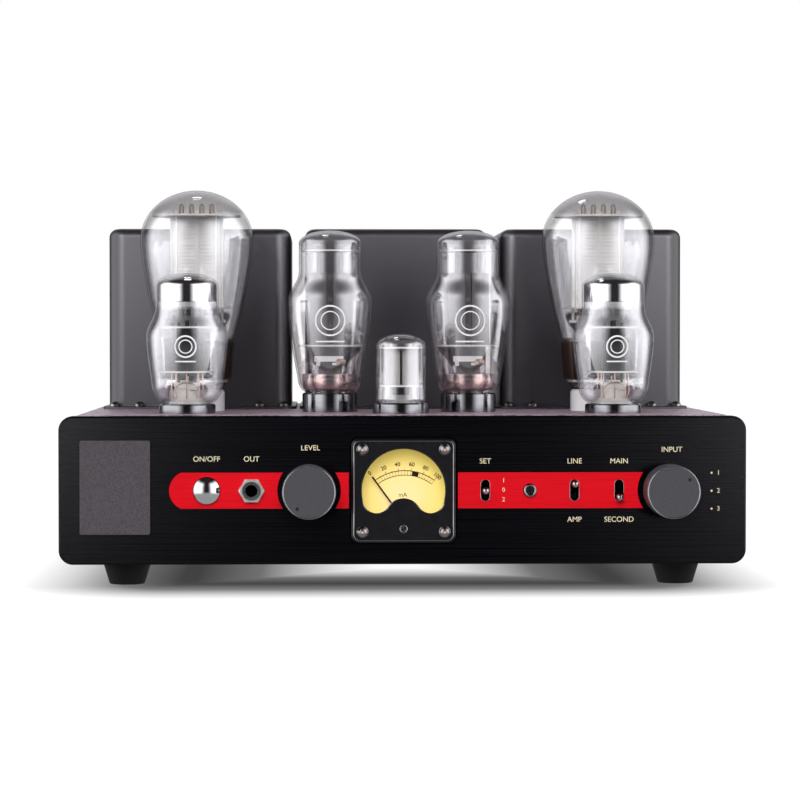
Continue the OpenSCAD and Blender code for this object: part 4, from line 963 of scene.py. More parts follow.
    @classmethod
    def of(cls, node: str, slot: str) -> Finish:
        """Returns the finish of a construction node: its own, or else its slot's."""
        finishes = (value for value in vars(cls).values() if isinstance(value, Finish))
        return cls.BY_NODE.get(node) or next(f for f in finishes if f.name == slot)


class Construction:
    """Gives every construction node its finish."""

    def build(self) -> None:
        """Assigns materials and smooth shading; the meshes stay as they are."""
        slots = {part["node"]: part["material_slot"] for part in frame["record"]["subparts"]}
        for name, obj in frame["nodes"].items():
            obj.data.materials.clear()
            finish = Palette.of(name, slots[name])
            obj.data.materials.append(finish.material())
            obj.data.shade_smooth()
            obj.data.set_sharp_from_angle(angle=math.radians(NODE_SHARP))
            LOG.info("node %s: %s", name, finish.name)


@dataclass
class Bulb:
    """Glass of one tube, turned from the outline that the construction model uses.

    Heights are millimetres above the deck.

    Attributes:
        node: Construction node that it stands for.
        neck: Radius of the neck.
        neck_low: Height of the neck's lower end.
        foot: Height where the bulb begins.
        low: How much narrower the foot curve's end is than the widest ring, and its height.
        widest: Height of the widest ring.
        top: Radius and height of the upper cylinder's start.
        dome: Height of the dome.
        micas: Radius and height of each mica disc.
        finish: Kind of glass.
    """

    node: str
    neck: float
    neck_low: float
    foot: float
    low: Point2
    widest: float
    top: Point2
    dome: float
    micas: tuple[Point2, ...]
    finish: Finish

    WALL = 1.0
    STEPS = 24

    @property
    def place(self) -> Matrix:
        """Placement on the tube's axis, at the deck."""
        centre = node_centre(self.node)
        return Matrix.Translation((centre.x, centre.y, DECK_Z))

    @property
    def height(self) -> float:
        """Height of the top above the deck."""
        return node_box(self.node)[1].z - DECK_Z

    @property
    def radius(self) -> float:
        """Radius of the widest ring."""
        low, high = node_box(self.node)
        return (high.x - low.x) / 2

    def outline(self) -> list[Point2]:
        """Draws the outer outline.

        Returns:
            Radius and height of each point from the foot to the top.
        """
        start = (self.radius - self.low[0], self.low[1])
        belly = (self.radius, self.widest)
        shares = [i / self.STEPS for i in range(1, self.STEPS + 1)]
        points = arc((self.neck, start[1]), (start[0] - self.neck, start[1] - self.foot),
                     -90, 0, 10)
        for t in shares:
            points.append((belly[0] - (belly[0] - start[0]) * (1 - t) ** 1.5,
                           start[1] + (belly[1] - start[1]) * t))
        if self.top[1] > belly[1]:
            for t in shares:
                wave = (1 + math.cos(math.pi * t)) / 2
                points.append((self.top[0] + (belly[0] - self.top[0]) * wave,
                               belly[1] + (self.top[1] - belly[1]) * t))
        rise = arc((0.0, self.height - self.dome), (self.top[0], self.dome), 0, 90, 32)
        points += rise[1:] if rise[0][1] - points[-1][1] < 0.01 else rise
        points[-1] = (0.0, self.height)
        return points

    def lining(self, gap: float, above: float) -> list[Point2]:
        """Returns the inner outline, a gap inside the glass, above a height."""
        points = inset(self.outline(), self.WALL + gap)
        return [(self.width(points, above), above)] + [p for p in points if p[1] > above]

    def width(self, points: Sequence[Point2], z: float) -> float:
        """Measures an outline.

        Args:
            points: Radius and height of each point.
            z: A height.

        Returns:
            The radius at that height.
        """
        for (r0, z0), (r1, z1) in zip(points, points[1:]):
            if z0 <= z <= z1 and z1 > z0:
                return r0 + (r1 - r0) * (z - z0) / (z1 - z0)
        return points[0][0]

    def build(self) -> None:
        """Builds the outer and inner faces of the glass."""
        outer = self.outline()
        inner = inset(outer, self.WALL)
        shell = Solid(self.node + "_look", self.place)
        shell.lathe([(self.neck, self.neck_low)] + outer)
        shell.lathe([(self.neck - self.WALL, self.neck_low)] + inner)
        shell.piece(self.finish, replaces=(self.node,), sharp=TURNED_SHARP)


class Side(Enum):
    """The two sides that paired tubes stand on."""

    LEFT = "left"
    RIGHT = "right"


def in_each(solid: Solid, bulbs: Sequence[Bulb], shift: Point3 = (0.0,) * 3) -> Iterator[Bulb]:
    """Moves a solid's placement from tube to tube.

    Args:
        solid: What is being built.
        bulbs: The tubes.
        shift: Way from a tube's axis to the placement.

    Returns:
        The tubes, one after the other.
    """
    for bulb in bulbs:
        solid.place = bulb.place @ Matrix.Translation(shift)
        yield bulb


@dataclass
class Tubes:
    """Glass, mirrors and small wires of the seven tubes.

    Heights are millimetres above the deck, and paths run from the tube's axis.

    Attributes:
        power: The two large globes.
        middle: The two shouldered tubes behind the others.
        front: The two shouldered tubes with a mirrored top.
        centre: The small tube.
        mica_edge: How far a mica disc's edge reaches in and out, and half its thickness.
        mark: Line widths of a mark's outer ring, inner ring and bar.
        mark_lift: Gap between glass and mark, and the mark's thickness.
        mirror_low: Height where the mirrored top begins.
        stem: Outline of the front tubes' flared foot.
        pinch: Corners of the pinch on it.
        stem_wire: One wire beside the pinch.
        heater: Half width, rise, depth and height of a heater loop.
        hook: One hook on the globes' upper mica disc.
        hook_start: Place of the first hook.
        grid_turn: Ends of a grid's lowest turn.
        side_rod: Ends of the left support rod.
        bar: Corners of the bar before the grid.
        flare: Outline of the middle tubes' stem flare.
        getter_bars: Corners of the ceramic pieces in the middle tubes.
        coil_start: Place of the coil's first turn.
    """

    power: list[Bulb] = field(default_factory=lambda: [
        Bulb(f"{side.value}_power_tube_glass", 18.3, 16.2, 38.8, (10.3, 41.2), 95.0,
             (31.4, 95.0), 27.5, ((19.25, 57.3), (24.5, 108.3)), Palette.GLOBE)
        for side in Side])
    middle: list[Bulb] = field(default_factory=lambda: [
        Bulb(f"{side.value}_middle_tube_glass", 12.0, -6.3, 10.6, (5.6, 18.5), 60.0,
             (17.1, 77.0), 7.0, ((17.4, 36.3), (15.6, 88.3)), Palette.SHOULDERED)
        for side in Side])
    front: list[Bulb] = field(default_factory=lambda: [
        Bulb(f"{side.value}_front_tube_glass", 12.0, -6.3, 5.3, (2.6, 18.5), 41.0,
             (16.9, 58.0), 7.0, ((14.0, 22.3), (14.0, 46.3)), Palette.GLASS)
        for side in Side])
    centre: list[Bulb] = field(default_factory=lambda: [
        Bulb("center_tube_glass", 12.0, -6.3, 5.9, (0.0, 7.6), 9.6, (13.5, 35.0), 7.0,
             ((11.7, 14.8), (11.7, 35.3)), Palette.GLASS)])
    mica_edge: Point3 = (0.4, 0.08, 0.48)
    mark: Point3 = (0.9, 0.6, 0.8)
    mark_lift: Point2 = (0.06, 0.05)
    mirror_low: float = 60.2
    stem: tuple[Point2, ...] = ((9.8, 4.8), (9.6, 6.2), (7.4, 8.4), (5.6, 10.6), (5.0, 12.0),
                                (0.0, 12.1))
    pinch: tuple[Point3, Point3] = ((-6.8, -2.2, 8.2), (6.8, 2.2, 16.6))
    stem_wire: tuple[Point3, ...] = ((7.2, 0.0, 4.0), (7.6, 0.0, 8.0), (8.6, 0.0, 12.0),
                                     (8.2, 0.0, 21.5))
    heater: tuple[float, ...] = (6.0, 4.0, -9.0, 12.5)
    hook: tuple[Point3, ...] = ((-1.0, 0.0, 108.7), (-1.0, 0.0, 113.7), (-0.6, 0.0, 114.7),
                                (0.6, 0.0, 114.7), (1.0, 0.0, 113.7), (1.0, 0.0, 110.0))
    hook_start: Point3 = (-8.4, -1.6, 0.0)
    grid_turn: tuple[Point3, Point3] = ((-12.9, -6.7, 60.0), (12.9, -6.7, 60.0))
    side_rod: tuple[Point3, Point3] = ((-11.0, -7.8, 57.7), (-11.0, -7.8, 111.4))
    bar: tuple[Point3, Point3] = ((-0.6, -7.5, 57.7), (1.4, -7.0, 111.0))
    flare: tuple[Point2, ...] = ((13.0, 11.9), (14.2, 12.3), (14.8, 13.0), (15.0, 14.0),
                                 (15.2, 17.0), (15.3, 20.4), (15.1, 20.8), (14.8, 20.6),
                                 (14.4, 16.0), (13.4, 13.2))
    getter_bars: tuple[tuple[Point3, Point3], ...] = (
        ((-8.6, -9.4, 27.6), (7.4, -7.6, 30.6)), ((-7.6, -9.0, 25.2), (-5.4, -8.0, 27.6)),
        ((1.2, -9.0, 25.6), (5.6, -8.0, 27.0)))
    coil_start: Point3 = (4.8, -10.6, 27.4)

    @property
    def bulbs(self) -> list[Bulb]:
        """All seven bulbs."""
        return self.power + self.middle + self.front + self.centre

    def build(self) -> None:
        """Builds all tubes."""
        for bulb in self.bulbs:
            bulb.build()
        self.mica_rims()
        self.marks()
        self.front_mirrors()
        self.front_stems()
        self.front_wires()
        self.power_hooks()
        self.power_grids()
        self.middle_flares()
        self.middle_getters()

    def mica_rims(self) -> None:
        """Builds the bright cut edges of all mica discs."""
        rims = Solid("mica_rims")
        inner, outer, half = self.mica_edge
        for bulb in in_each(rims, self.bulbs):
            for radius, z in bulb.micas:
                low, high = radius - inner, radius + outer
                rims.lathe([(low, z - half), (high, z - half), (high, z + half), (low, z + half)],
                           72, True)
        rims.piece(Palette.MICA)

    def flat_mark(self, radius: float) -> Solid:
        """Draws a plain double ring over a bar.

        Args:
            radius: Radius of the outer ring.

        Returns:
            The flat mark round the origin.
        """
        flat = Solid("flat_mark")
        ring, inner, bar = self.mark
        depth = self.mark_lift[1]
        flat.stroke(circle(radius, 360, 72), ring, depth)
        flat.stroke(circle(radius * 0.62, 360, 60), inner, depth)
        flat.stroke([(radius * (i - 10) / 10, -radius * 1.42) for i in range(21)], bar, depth)
        return flat

    def marks(self) -> None:
        """Bends the marks round the glass of the shouldered tubes."""
        ink = Solid("glass_marks")
        for bulbs, radius, middle in ((self.middle, 8.0, 50.0), (self.front, 5.6, 36.0)):
            flat = self.flat_mark(radius)
            for bulb in in_each(ink, bulbs):
                outline = bulb.outline()
                verts = []
                for x, y, depth in flat.verts:
                    wall = bulb.width(outline, middle + y)
                    turn, reach = x / wall, wall + self.mark_lift[0] + depth
                    verts.append((reach * math.sin(turn), -reach * math.cos(turn), middle + y))
                ink.add(verts, flat.faces)
        ink.piece(Palette.WHITE_INK)

    def front_mirrors(self) -> None:
        """Builds the silvered caps inside the front tubes."""
        caps = Solid("front_tube_getters")
        for bulb in in_each(caps, self.front):
            caps.lathe(bulb.lining(0.05, self.mirror_low))
        caps.piece(Palette.MIRROR, sharp=TURNED_SHARP)

    def front_stems(self) -> None:
        """Builds the pale flared foot and pinch in the front tubes."""
        stems = Solid("front_tube_stems")
        for _ in in_each(stems, self.front):
            stems.lathe(self.stem)
            stems.box(*self.pinch)
        stems.piece(Palette.STEM, sharp=FOLD_SHARP)

    def front_wires(self) -> None:
        """Builds the ring of stem wires and the heater loops of the front tubes."""
        wires = Solid("front_tube_wires")
        one = Solid("stem_wire")
        one.wire(self.stem_wire, 0.35)
        loop = Solid("heater_loop")
        half, rise, depth, z = self.heater
        loop.wire([(2.0, depth, z)] + [(x, depth, y) for x, y in
                                       arc((0.0, z), (half, rise), 0, 180, 10)], 0.3)
        for _ in in_each(wires, self.front):
            wires.add(*Row.copies(one, 8, Palette.ROSE_WIRE, turn=45.0))
            wires.add(*Row.copies(loop, 2, Palette.ROSE_WIRE, (0.0, 0.0, -1.6), 180.0))
        wires.piece(Palette.ROSE_WIRE)

    def power_hooks(self) -> None:
        """Builds the sprung hooks above the power tubes' upper mica disc."""
        hooks = Solid("power_tube_hooks")
        one = Solid("hook")
        one.wire(self.hook, 0.5)
        for _ in in_each(hooks, self.power, self.hook_start):
            hooks.add(*Row.copies(one, 4, Palette.BRONZE, (5.6, 0.0, 0.0)))
        hooks.piece(Palette.BRONZE)

    def power_grids(self) -> None:
        """Builds the power tubes' grid turns, the bar before them and the bright side rods."""
        grids = Solid("power_tube_grids")
        rods = Solid("power_tube_rods")
        rod = Solid("side_rod")
        rod.wire(self.side_rod, 0.65)
        one = Solid("turn")
        one.wire(self.grid_turn, 0.12, 6)
        for _ in in_each(grids, self.power):
            grids.add(*Row.copies(one, 24, Palette.BRIGHT_PLATE, (0.0, 0.0, 2.0)))
        for _ in in_each(rods, self.power):
            rods.add(*Row.copies(rod, 2, Palette.NICKEL, (-2 * self.side_rod[0][0], 0.0, 0.0)))
            rods.box(*self.bar)
        grids.piece(Palette.BRIGHT_PLATE)
        rods.piece(Palette.NICKEL)

    def middle_flares(self) -> None:
        """Builds the copper-toned flare of the stem in the middle tubes."""
        flares = Solid("middle_tube_flares")
        for _ in in_each(flares, self.middle):
            flares.lathe(self.flare)
        flares.piece(Palette.COPPER, sharp=TURNED_SHARP)

    def middle_getters(self) -> None:
        """Builds the ceramic bar and the coil below the middle tubes' lower mica disc."""
        bars = Solid("middle_tube_bars")
        coils = Solid("middle_tube_coils")
        turn = Solid("coil_turn")
        turn.wire([(x, 0.0, z) for x, z in circle(1.5, 360, 16)], 0.3)
        for _ in in_each(bars, self.middle):
            for low, high in self.getter_bars:
                bars.box(low, high)
        for _ in in_each(coils, self.middle, self.coil_start):
            coils.add(*Row.copies(turn, 5, Palette.ROSE_WIRE, (0.5, 0.3, 0.0)))
        bars.piece(Palette.CERAMIC)
        coils.piece(Palette.ROSE_WIRE)


@dataclass
class Meter:
    """Printing on the meter's dial, and the bright edges of its bezel and screws.

    Attributes:
        face: Depth of the bezel's face behind the panel's.
        dial: Depth of the printing.
        pivot: Height of the needle's axis.
        off: How far the scale's centre lies to the right of the pivot, and below it.
        start: First angle of the scale, anticlockwise from upright.
        sweep: Angle of the scale.
        rings: Radius and line width of the two arcs.
        black: Radius, width and two shares of the scale of the black field.
        ticks: Two radii, number, share of the finest step and line width of each row of ticks.
        print: Thickness of the printing.
        window: Radius of the window and of its lobes, drop of the lobes and of the hump.
        screw: Radius of a bezel screw's head.
    """

    face: float = front_of("meter_bezel")
    dial: float = front_of("meter_dial") - 0.02
    pivot: float = joint_place("needle_swing").z
    off: Point2 = (1.0, 0.9)
    start: float = 36.5
    sweep: float = 73.0
    rings: tuple[Point2, Point2] = ((26.2, 0.42), (23.8, 0.34))
    black: tuple[float, ...] = (25.0, 2.4, 0.62, 0.73)
    ticks: tuple[tuple[float, float, int, int, float], ...] = (
        (23.8, 26.2, 21, 1, 0.16), (26.2, 27.0, 11, 2, 0.2), (26.2, 27.6, 6, 4, 0.24))
    print: float = 0.06
    window: tuple[float, ...] = (22.2, 7.6, 4.6, 13.5)
    screw: float = 2.85

    def build(self) -> None:
        """Builds the scale and the bright edges."""
        self.scale()
        self.window_edge()
        self.frame_line()
        self.screw_details()

    def centre(self) -> Matrix:
        """Returns the placement of the scale's centre, a little off the pivot as printed."""
        return facing(self.off[0], self.dial, self.pivot - self.off[1])

    def place(self, share: float, radius: float) -> Matrix:
        """Finds a place on the dial.

        Args:
            share: Share of the scale.
            radius: Distance from the scale's centre.

        Returns:
            The placement, with its +Y pointing outwards.
        """
        angle = self.start - self.sweep * share
        turned = self.centre() @ Matrix.Rotation(math.radians(angle), 4, "Z")
        return turned @ Matrix.Translation((0.0, radius, 0.0))

    def scale(self) -> None:
        """Builds arcs, ticks, the black field and the numbers."""
        ink = Solid("meter_scale", self.centre())
        ends = (90 + self.start, 90 + self.start - self.sweep)
        for radius, width in self.rings:
            ink.stroke(arc((0, 0), (radius, radius), *ends, 60), width, self.print)
        radius, width, *shares = self.black
        ends = [90 + self.start - self.sweep * share for share in shares]
        ink.stroke(arc((0, 0), (radius, radius), *ends, 10), width, self.print)
        ink.place = self.place(0.0, 0.0)
        for low, high, count, skip, width in self.ticks:
            tick = Solid("tick")
            tick.stroke([(0.0, low), (0.0, high)], width, self.print)
            step = -self.sweep / 20
            ink.add(*Row.copies(tick, count, Palette.BLACK_INK, turn=skip * step))
        for value in range(0, 101, 20):
            ink.place = self.place(value / 100, {0: 30.9, 100: 28.9}.get(value, 29.6))
            ink.letters(str(value), 3.0, self.print, 0.05)
        ink.place = facing(0.0, self.dial, AXIS_Z - 3.0)
        ink.letters("mA", 3.2, self.print)
        ink.piece(Palette.BLACK_INK)

    def window_outline(self) -> list[Point2]:
        """Draws the window: a round top, two lobes and a hump between them.

        Returns:
            The points all round.
        """
        radius, lobe, lobe_drop, hump_drop = self.window
        side = math.degrees(math.asin(lobe_drop / radius))
        lobe_x = radius * math.cos(math.radians(side)) - lobe
        hump = math.hypot(lobe_x, hump_drop - lobe_drop) - lobe
        tilt = math.degrees(math.atan2(hump_drop - lobe_drop, lobe_x))
        return (arc((0.0, 0.0), (radius, radius), -side, 180 + side, 96)
                + arc((-lobe_x, -lobe_drop), (lobe, lobe), 180, 360 - tilt, 32)[1:-1]
                + arc((0.0, -hump_drop), (hump, hump), 180 - tilt, tilt, 32)
                + arc((lobe_x, -lobe_drop), (lobe, lobe), 180 + tilt, 360, 32)[1:-1])

    def window_edge(self) -> None:
        """Builds the thin polished slope round the window."""
        edge = Solid("meter_window_edge", facing(0.0, self.face, AXIS_Z))
        points = self.window_outline()
        count = len(points)
        verts: list[Point3] = []
        for drop, shift in ((-0.05, 0.02), (-0.5, 0.45)):
            for i, (x, y) in enumerate(points):
                (ax, ay), (bx, by) = points[i - 1], points[(i + 1) % count]
                length = math.hypot(bx - ax, by - ay)
                verts.append((x - shift * (by - ay) / length, y + shift * (bx - ax) / length,
                              drop))
        edge.add(verts, skin(count, 2))
        edge.piece(Palette.RIM)

    def frame_line(self) -> None:
        """Builds the fine bright line along the edge of the bezel."""
        line = Solid("meter_frame_line", facing(0.0, self.face, AXIS_Z))
        low, high = node_box("meter_bezel")
        half = (high.x - low.x) / 2 - 1.25
        line.loop(rounded((half, half), 3.2, 10), 0.24)
        line.piece(Palette.CHROME, sharp=TURNED_SHARP)

    def screw_details(self) -> None:
        """Builds the bright rim and the rose socket floor of the four bezel screws."""
        rims, floors = Solid("meter_screw_rims"), Solid("meter_screw_sockets")
        low, high = node_box("meter_screws")
        reach = ((high.x - low.x) / 2 - self.screw, (high.z - low.z) / 2 - self.screw)
        for sx in (-1, 1):
            for sz in (-1, 1):
                place = facing(sx * reach[0], self.face, AXIS_Z + sz * reach[1])
                rims.place = floors.place = place
                rims.lathe(arc((2.75, 0.0), (0.32, 0.32), 0, 180, 10), 48, True)
                floors.lathe([(1.0, 1.0), (1.0, 1.2), (0.0, 1.2)], 6)
        rims.piece(Palette.RIM, sharp=TURNED_SHARP)
        floors.piece(Palette.ROSE)


@dataclass(frozen=True)
class Mark:
    """One printed word.

    Attributes:
        text: The word.
        x: Place from the middle.
        rise: Height above the row of controls.
        size: Letter size.
    """

    text: str
    x: float
    rise: float
    size: float = 3.9


@dataclass
class PanelMarks:
    """Plain gold marks beside the controls.

    Attributes:
        above: Height of the words over the left controls.
        right_above: Height of the words over the toggles.
        below: Height of the words under the toggles.
        pitch: Way from one of the selector's dots to the next.
        depth: Thickness of the ink.
        sunk: How far the ink reaches into the panel.
    """

    above: float = 16.4
    right_above: float = 15.2
    below: float = -15.4
    pitch: float = 9.4
    depth: float = 0.12
    sunk: float = 0.02

    def marks(self) -> list[Mark]:
        """Lists all words.

        Returns:
            The words with their places.
        """
        power, volume, bias, mode, output, selector = (joint_place(joint).x for joint in (
            "power_press", "volume_turn", "bias_toggle_throw", "mode_toggle_throw",
            "output_toggle_throw", "selector_turn"))
        jack = node_centre("headphone_nut").x
        marks = [Mark("ON/OFF", power, self.above), Mark("OUT", jack, self.above),
                 Mark("LEVEL", volume + 0.7, 22.2), Mark("SET", bias, self.right_above),
                 Mark("LINE", mode, self.right_above), Mark("AMP", mode, self.below),
                 Mark("MAIN", output, self.right_above), Mark("SECOND", output, self.below),
                 Mark("INPUT", selector + 1.4, 21.2)]
        marks += [Mark(text, bias + 9.6, 5.2 - 5.0 * i, 3.2) for i, text in enumerate("102")]
        marks += [Mark(str(i + 1), selector + 26.0, 9.0 - self.pitch * i, 3.4) for i in range(3)]
        return marks

    def build(self) -> None:
        """Builds the marks on the panel and on the strip."""
        selector = joint_place("selector_turn").x
        low, high = node_box("accent_strips")
        ink = Solid("panel_marks")
        for mark in self.marks():
            on_strip = abs(mark.rise) < (high.z - low.z) / 2 and mark.x <= selector
            depth = front_of("accent_strips") if on_strip else 0.0
            ink.place = facing(mark.x, depth - self.sunk, AXIS_Z + mark.rise)
            ink.letters(mark.text, mark.size, self.depth)
        dot = Solid("dot")
        dot.prism(circle(0.55, 330, 11), self.depth)
        ink.place = facing(selector + 22.4, -self.sunk, AXIS_Z + 9.0)
        ink.add(*Row.copies(dot, 3, Palette.GOLD_INK, (0.0, -self.pitch, 0.0)))
        ink.piece(Palette.GOLD_INK)


@dataclass
class KnobDot:
    """Black bottom of a knob's pointer hole, painted as the hole's shade.

    Attributes:
        node: Knob of the construction model.
        body: Body that the knob is part of.
        angle: Direction of the dot, anticlockwise from the right.
        ring: Distance from the knob's axis.
        radius: Radius of the dot.
        depth: Depth of the hole.
    """

    node: str
    body: Body
    angle: float
    ring: float = 10.4
    radius: float = 0.9
    depth: float = 0.66

    def build(self) -> None:
        """Builds the dot."""
        turn = math.radians(self.angle)
        x = node_centre(self.node).x + self.ring * math.cos(turn)
        z = AXIS_Z + self.ring * math.sin(turn)
        dot = Solid(self.node + "_dot", facing(x, front_of(self.node) + self.depth, z))
        dot.prism(circle(self.radius, 345, 23), 0.4)
        # The near-black dot paints the shade at the bottom of the hole.
        dot.piece(Palette.HOLE_BLACK, self.body)


@dataclass
class Fitting:
    """Small detail on the face of a round control.

    Attributes:
        node: Construction node that it lies on.
        body: Body that the node is part of.
        joint: Joint whose axis is its centre.
    """

    node: str
    body: Body
    joint: str

    def place(self, depth: float = 0.0) -> Matrix:
        """Returns the placement on the control's axis, a depth behind its face."""
        spot = joint_place(self.joint)
        return facing(spot.x, front_of(self.node) + depth, spot.z)


@dataclass
class FaceRing(Fitting):
    """Rounded bright ring.

    Attributes:
        radius: Radius of the ring.
        width: Half width of its rounded section.
        finish: Finish of the ring.
    """

    radius: float
    width: float
    finish: Finish

    def build(self) -> None:
        """Builds the ring."""
        ring = Solid(self.node + "_ring", self.place())
        section = arc((self.radius, -0.05), (self.width, self.width), 180, 0, 12)
        ring.lathe(section[::-1], 96, True)
        ring.piece(self.finish, self.body, sharp=TURNED_SHARP)


@dataclass
class SlotFloor(Fitting):
    """Dark bottom of a screwdriver slot, painted as the slot's shade.

    Attributes:
        angle: Direction of the slot, anticlockwise from the right.
        size: Length and width of the slot.
        depth: Depth of the slot.
    """

    angle: float
    size: Point2
    depth: float

    def build(self) -> None:
        """Builds the dark strip of painted shade on the slot's bottom."""
        turn = Matrix.Rotation(math.radians(self.angle), 4, "Z")
        strip = Solid(self.node + "_slot", self.place(self.depth) @ turn)
        length, width = self.size
        strip.box((-length / 2, -width / 2, 0.0), (length / 2, width / 2, 0.2))
        # The near-black strip paints the shade in the slot.
        strip.piece(Palette.HOLE_BLACK, self.body)


@dataclass
class SlotLips:
    """Fine bright edges of the three toggle slots.

    Attributes:
        joints: Toggle joints, one to a slot.
        size: Width and height of a slot.
        wire: Radius of the edge.
    """

    joints: tuple[str, ...] = ("bias_toggle_throw", "mode_toggle_throw", "output_toggle_throw")
    size: Point2 = (4.6, 11.0)
    wire: float = 0.16

    def build(self) -> None:
        """Builds the three edges."""
        face = front_of("accent_strips")
        half, rise = self.size[0] / 2 + 0.1, (self.size[1] - self.size[0]) / 2
        path = (arc((0.0, rise), (half, half), 0, 180, 20)
                + arc((0.0, -rise), (half, half), 180, 360, 20))
        lips = Solid("toggle_slot_lips")
        for joint in self.joints:
            lips.place = facing(joint_place(joint).x, face, AXIS_Z)
            lips.loop(path, self.wire, 8)
        lips.piece(Palette.RIM, sharp=TURNED_SHARP)


@dataclass
class BoreLining:
    """Dark lining of the headphone jack's bore, painted near-black as the shade deep in the bore.

    Attributes:
        radius: Radius of the lining.
        depth: Depth of its bottom.
        front: Depth of its front edge.
    """

    radius: float = 3.12
    depth: float = 24.0
    front: float = 0.3

    def build(self) -> None:
        """Builds the lining with its bottom."""
        place = facing(node_centre("headphone_nut").x, front_of("headphone_jack"), AXIS_Z)
        lining = Solid("headphone_bore_lining", place)
        lining.lathe([(0.0, -self.depth), (self.radius, -self.depth), (self.radius, -self.front)],
                     48)
        # The near-black lining paints the shade deep in the bore.
        lining.piece(Palette.HOLE_BLACK)


@dataclass
class Cover:
    """Smooth shell of one transformer cover with its flange.

    Attributes:
        node: Construction node that it stands for.
        flange: Width of the flange beside and before the cover.
        corner: Radius of the upright corners.
        edge: Radius of the upper edges.
        sheet: Heights of the flange's lower and upper bevel edge, and the bevel's width.
    """

    node: str
    flange: Point2 = (3.0, 8.0)
    corner: float = 9.5
    edge: float = 5.0
    sheet: Point3 = (1.2, 1.6, 0.4)

    @property
    def size(self) -> Vector:
        """Size of the node's box."""
        low, high = node_box(self.node)
        return high - low

    def ring(self, inset_by: float, grow: Point2 = (0.0, 0.0)) -> list[Point2]:
        """Draws one level of the shell.

        Args:
            inset_by: How far it lies inside the wall.
            grow: How far it reaches over the flange, sideways and lengthways.

        Returns:
            The points of a rounded rectangle.
        """
        half_w = self.size.x / 2 - self.flange[0] + grow[0] - inset_by
        half_l = self.size.y / 2 - self.flange[1] + grow[1] - inset_by
        return rounded((half_w, half_l), max(self.corner - inset_by, 0.6), 12)

    def stack(self, solid: Solid, rings: Sequence[tuple[list[Point2], float]]) -> None:
        """Adds the skin over a stack of rings and a flat top.

        Args:
            solid: What is being built.
            rings: Rings with their heights, from the lowest up.
        """
        count = len(rings[0][0])
        verts = [(x, y, z) for ring, z in rings for x, y in ring]
        top = tuple(range(len(verts) - count, len(verts)))
        solid.add(verts, skin(count, len(rings)) + [top])

    def build(self) -> None:
        """Builds the cover."""
        centre = node_centre(self.node)
        shell = Solid(self.node + "_look", Matrix.Translation((centre.x, centre.y, DECK_Z)))
        rings = [(self.ring(0.0), 0.0)]
        for i in range(13):
            angle = math.radians(90 * i / 12)
            rings.append((self.ring(self.edge * (1 - math.cos(angle))),
                          self.size.z - self.edge * (1 - math.sin(angle))))
        self.stack(shell, rings)
        low, high, bevel = self.sheet
        plain = self.ring(0.0, self.flange)
        self.stack(shell, [(plain, 0.0), (plain, low), (self.ring(bevel, self.flange), high)])
        shell.piece(Palette.COVER, replaces=(self.node,), sharp=FOLD_SHARP)


# Stage; its lengths are metres


def aim_at(obj: bpy.types.Object, place: Point3, aim: Point3) -> None:
    """Puts a lamp or camera in the scene and turns it to a point.

    Args:
        obj: The lamp or camera.
        place: Where it stands.
        aim: What it looks at.
    """
    way = Vector(aim) - Vector(place)
    obj.location = place
    obj.rotation_mode = "QUATERNION"
    obj.rotation_quaternion = way.to_track_quat("-Z", "Y")
    bpy.context.scene.collection.objects.link(obj)


class Shows(Enum):
    """Kind of surface that a lamp shows on."""

    MATT = "matt"
    GLOSSY = "glossy"


@dataclass(frozen=True)
class Lamp:
    """A rectangular soft light.

    Attributes:
        name: Name of the lamp.
        shows: Kind of surface that it shows on.
        place: Where it stands.
        aim: What it points at.
        size: Width and height.
        energy: Power in watts.
        finish: The only finish that it lights, or None for all.
        colour: Colour of the light.
    """

    name: str
    shows: Shows
    place: Point3
    aim: Point3
    size: Point2
    energy: float
    finish: Finish | None = None
    colour: Colour = (1.0, 1.0, 1.0)

    def build(self) -> None:
        """Builds the lamp."""
        light = bpy.data.lights.new(self.name, "AREA")
        light.shape = "RECTANGLE"
        light.size, light.size_y = self.size
        light.energy = self.energy
        light.color = self.colour
        obj = bpy.data.objects.new(self.name, light)
        aim_at(obj, self.place, self.aim)
        obj.visible_camera = False
        obj.visible_diffuse = self.shows is Shows.MATT
        obj.visible_glossy = self.shows is Shows.GLOSSY
        if self.finish:
            obj.light_linking.receiver_collection = self.receivers(self.finish)

    def receivers(self, finish: Finish) -> bpy.types.Collection:
        """Gathers the pieces of one finish.

        Args:
            finish: The finish.

        Returns:
            A collection of these pieces.
        """
        group = bpy.data.collections.new(self.name)
        paint = finish.material()
        for piece in bpy.data.objects:
            if piece.type == "MESH" and paint in piece.data.materials[:]:
                group.objects.link(piece)
        return group


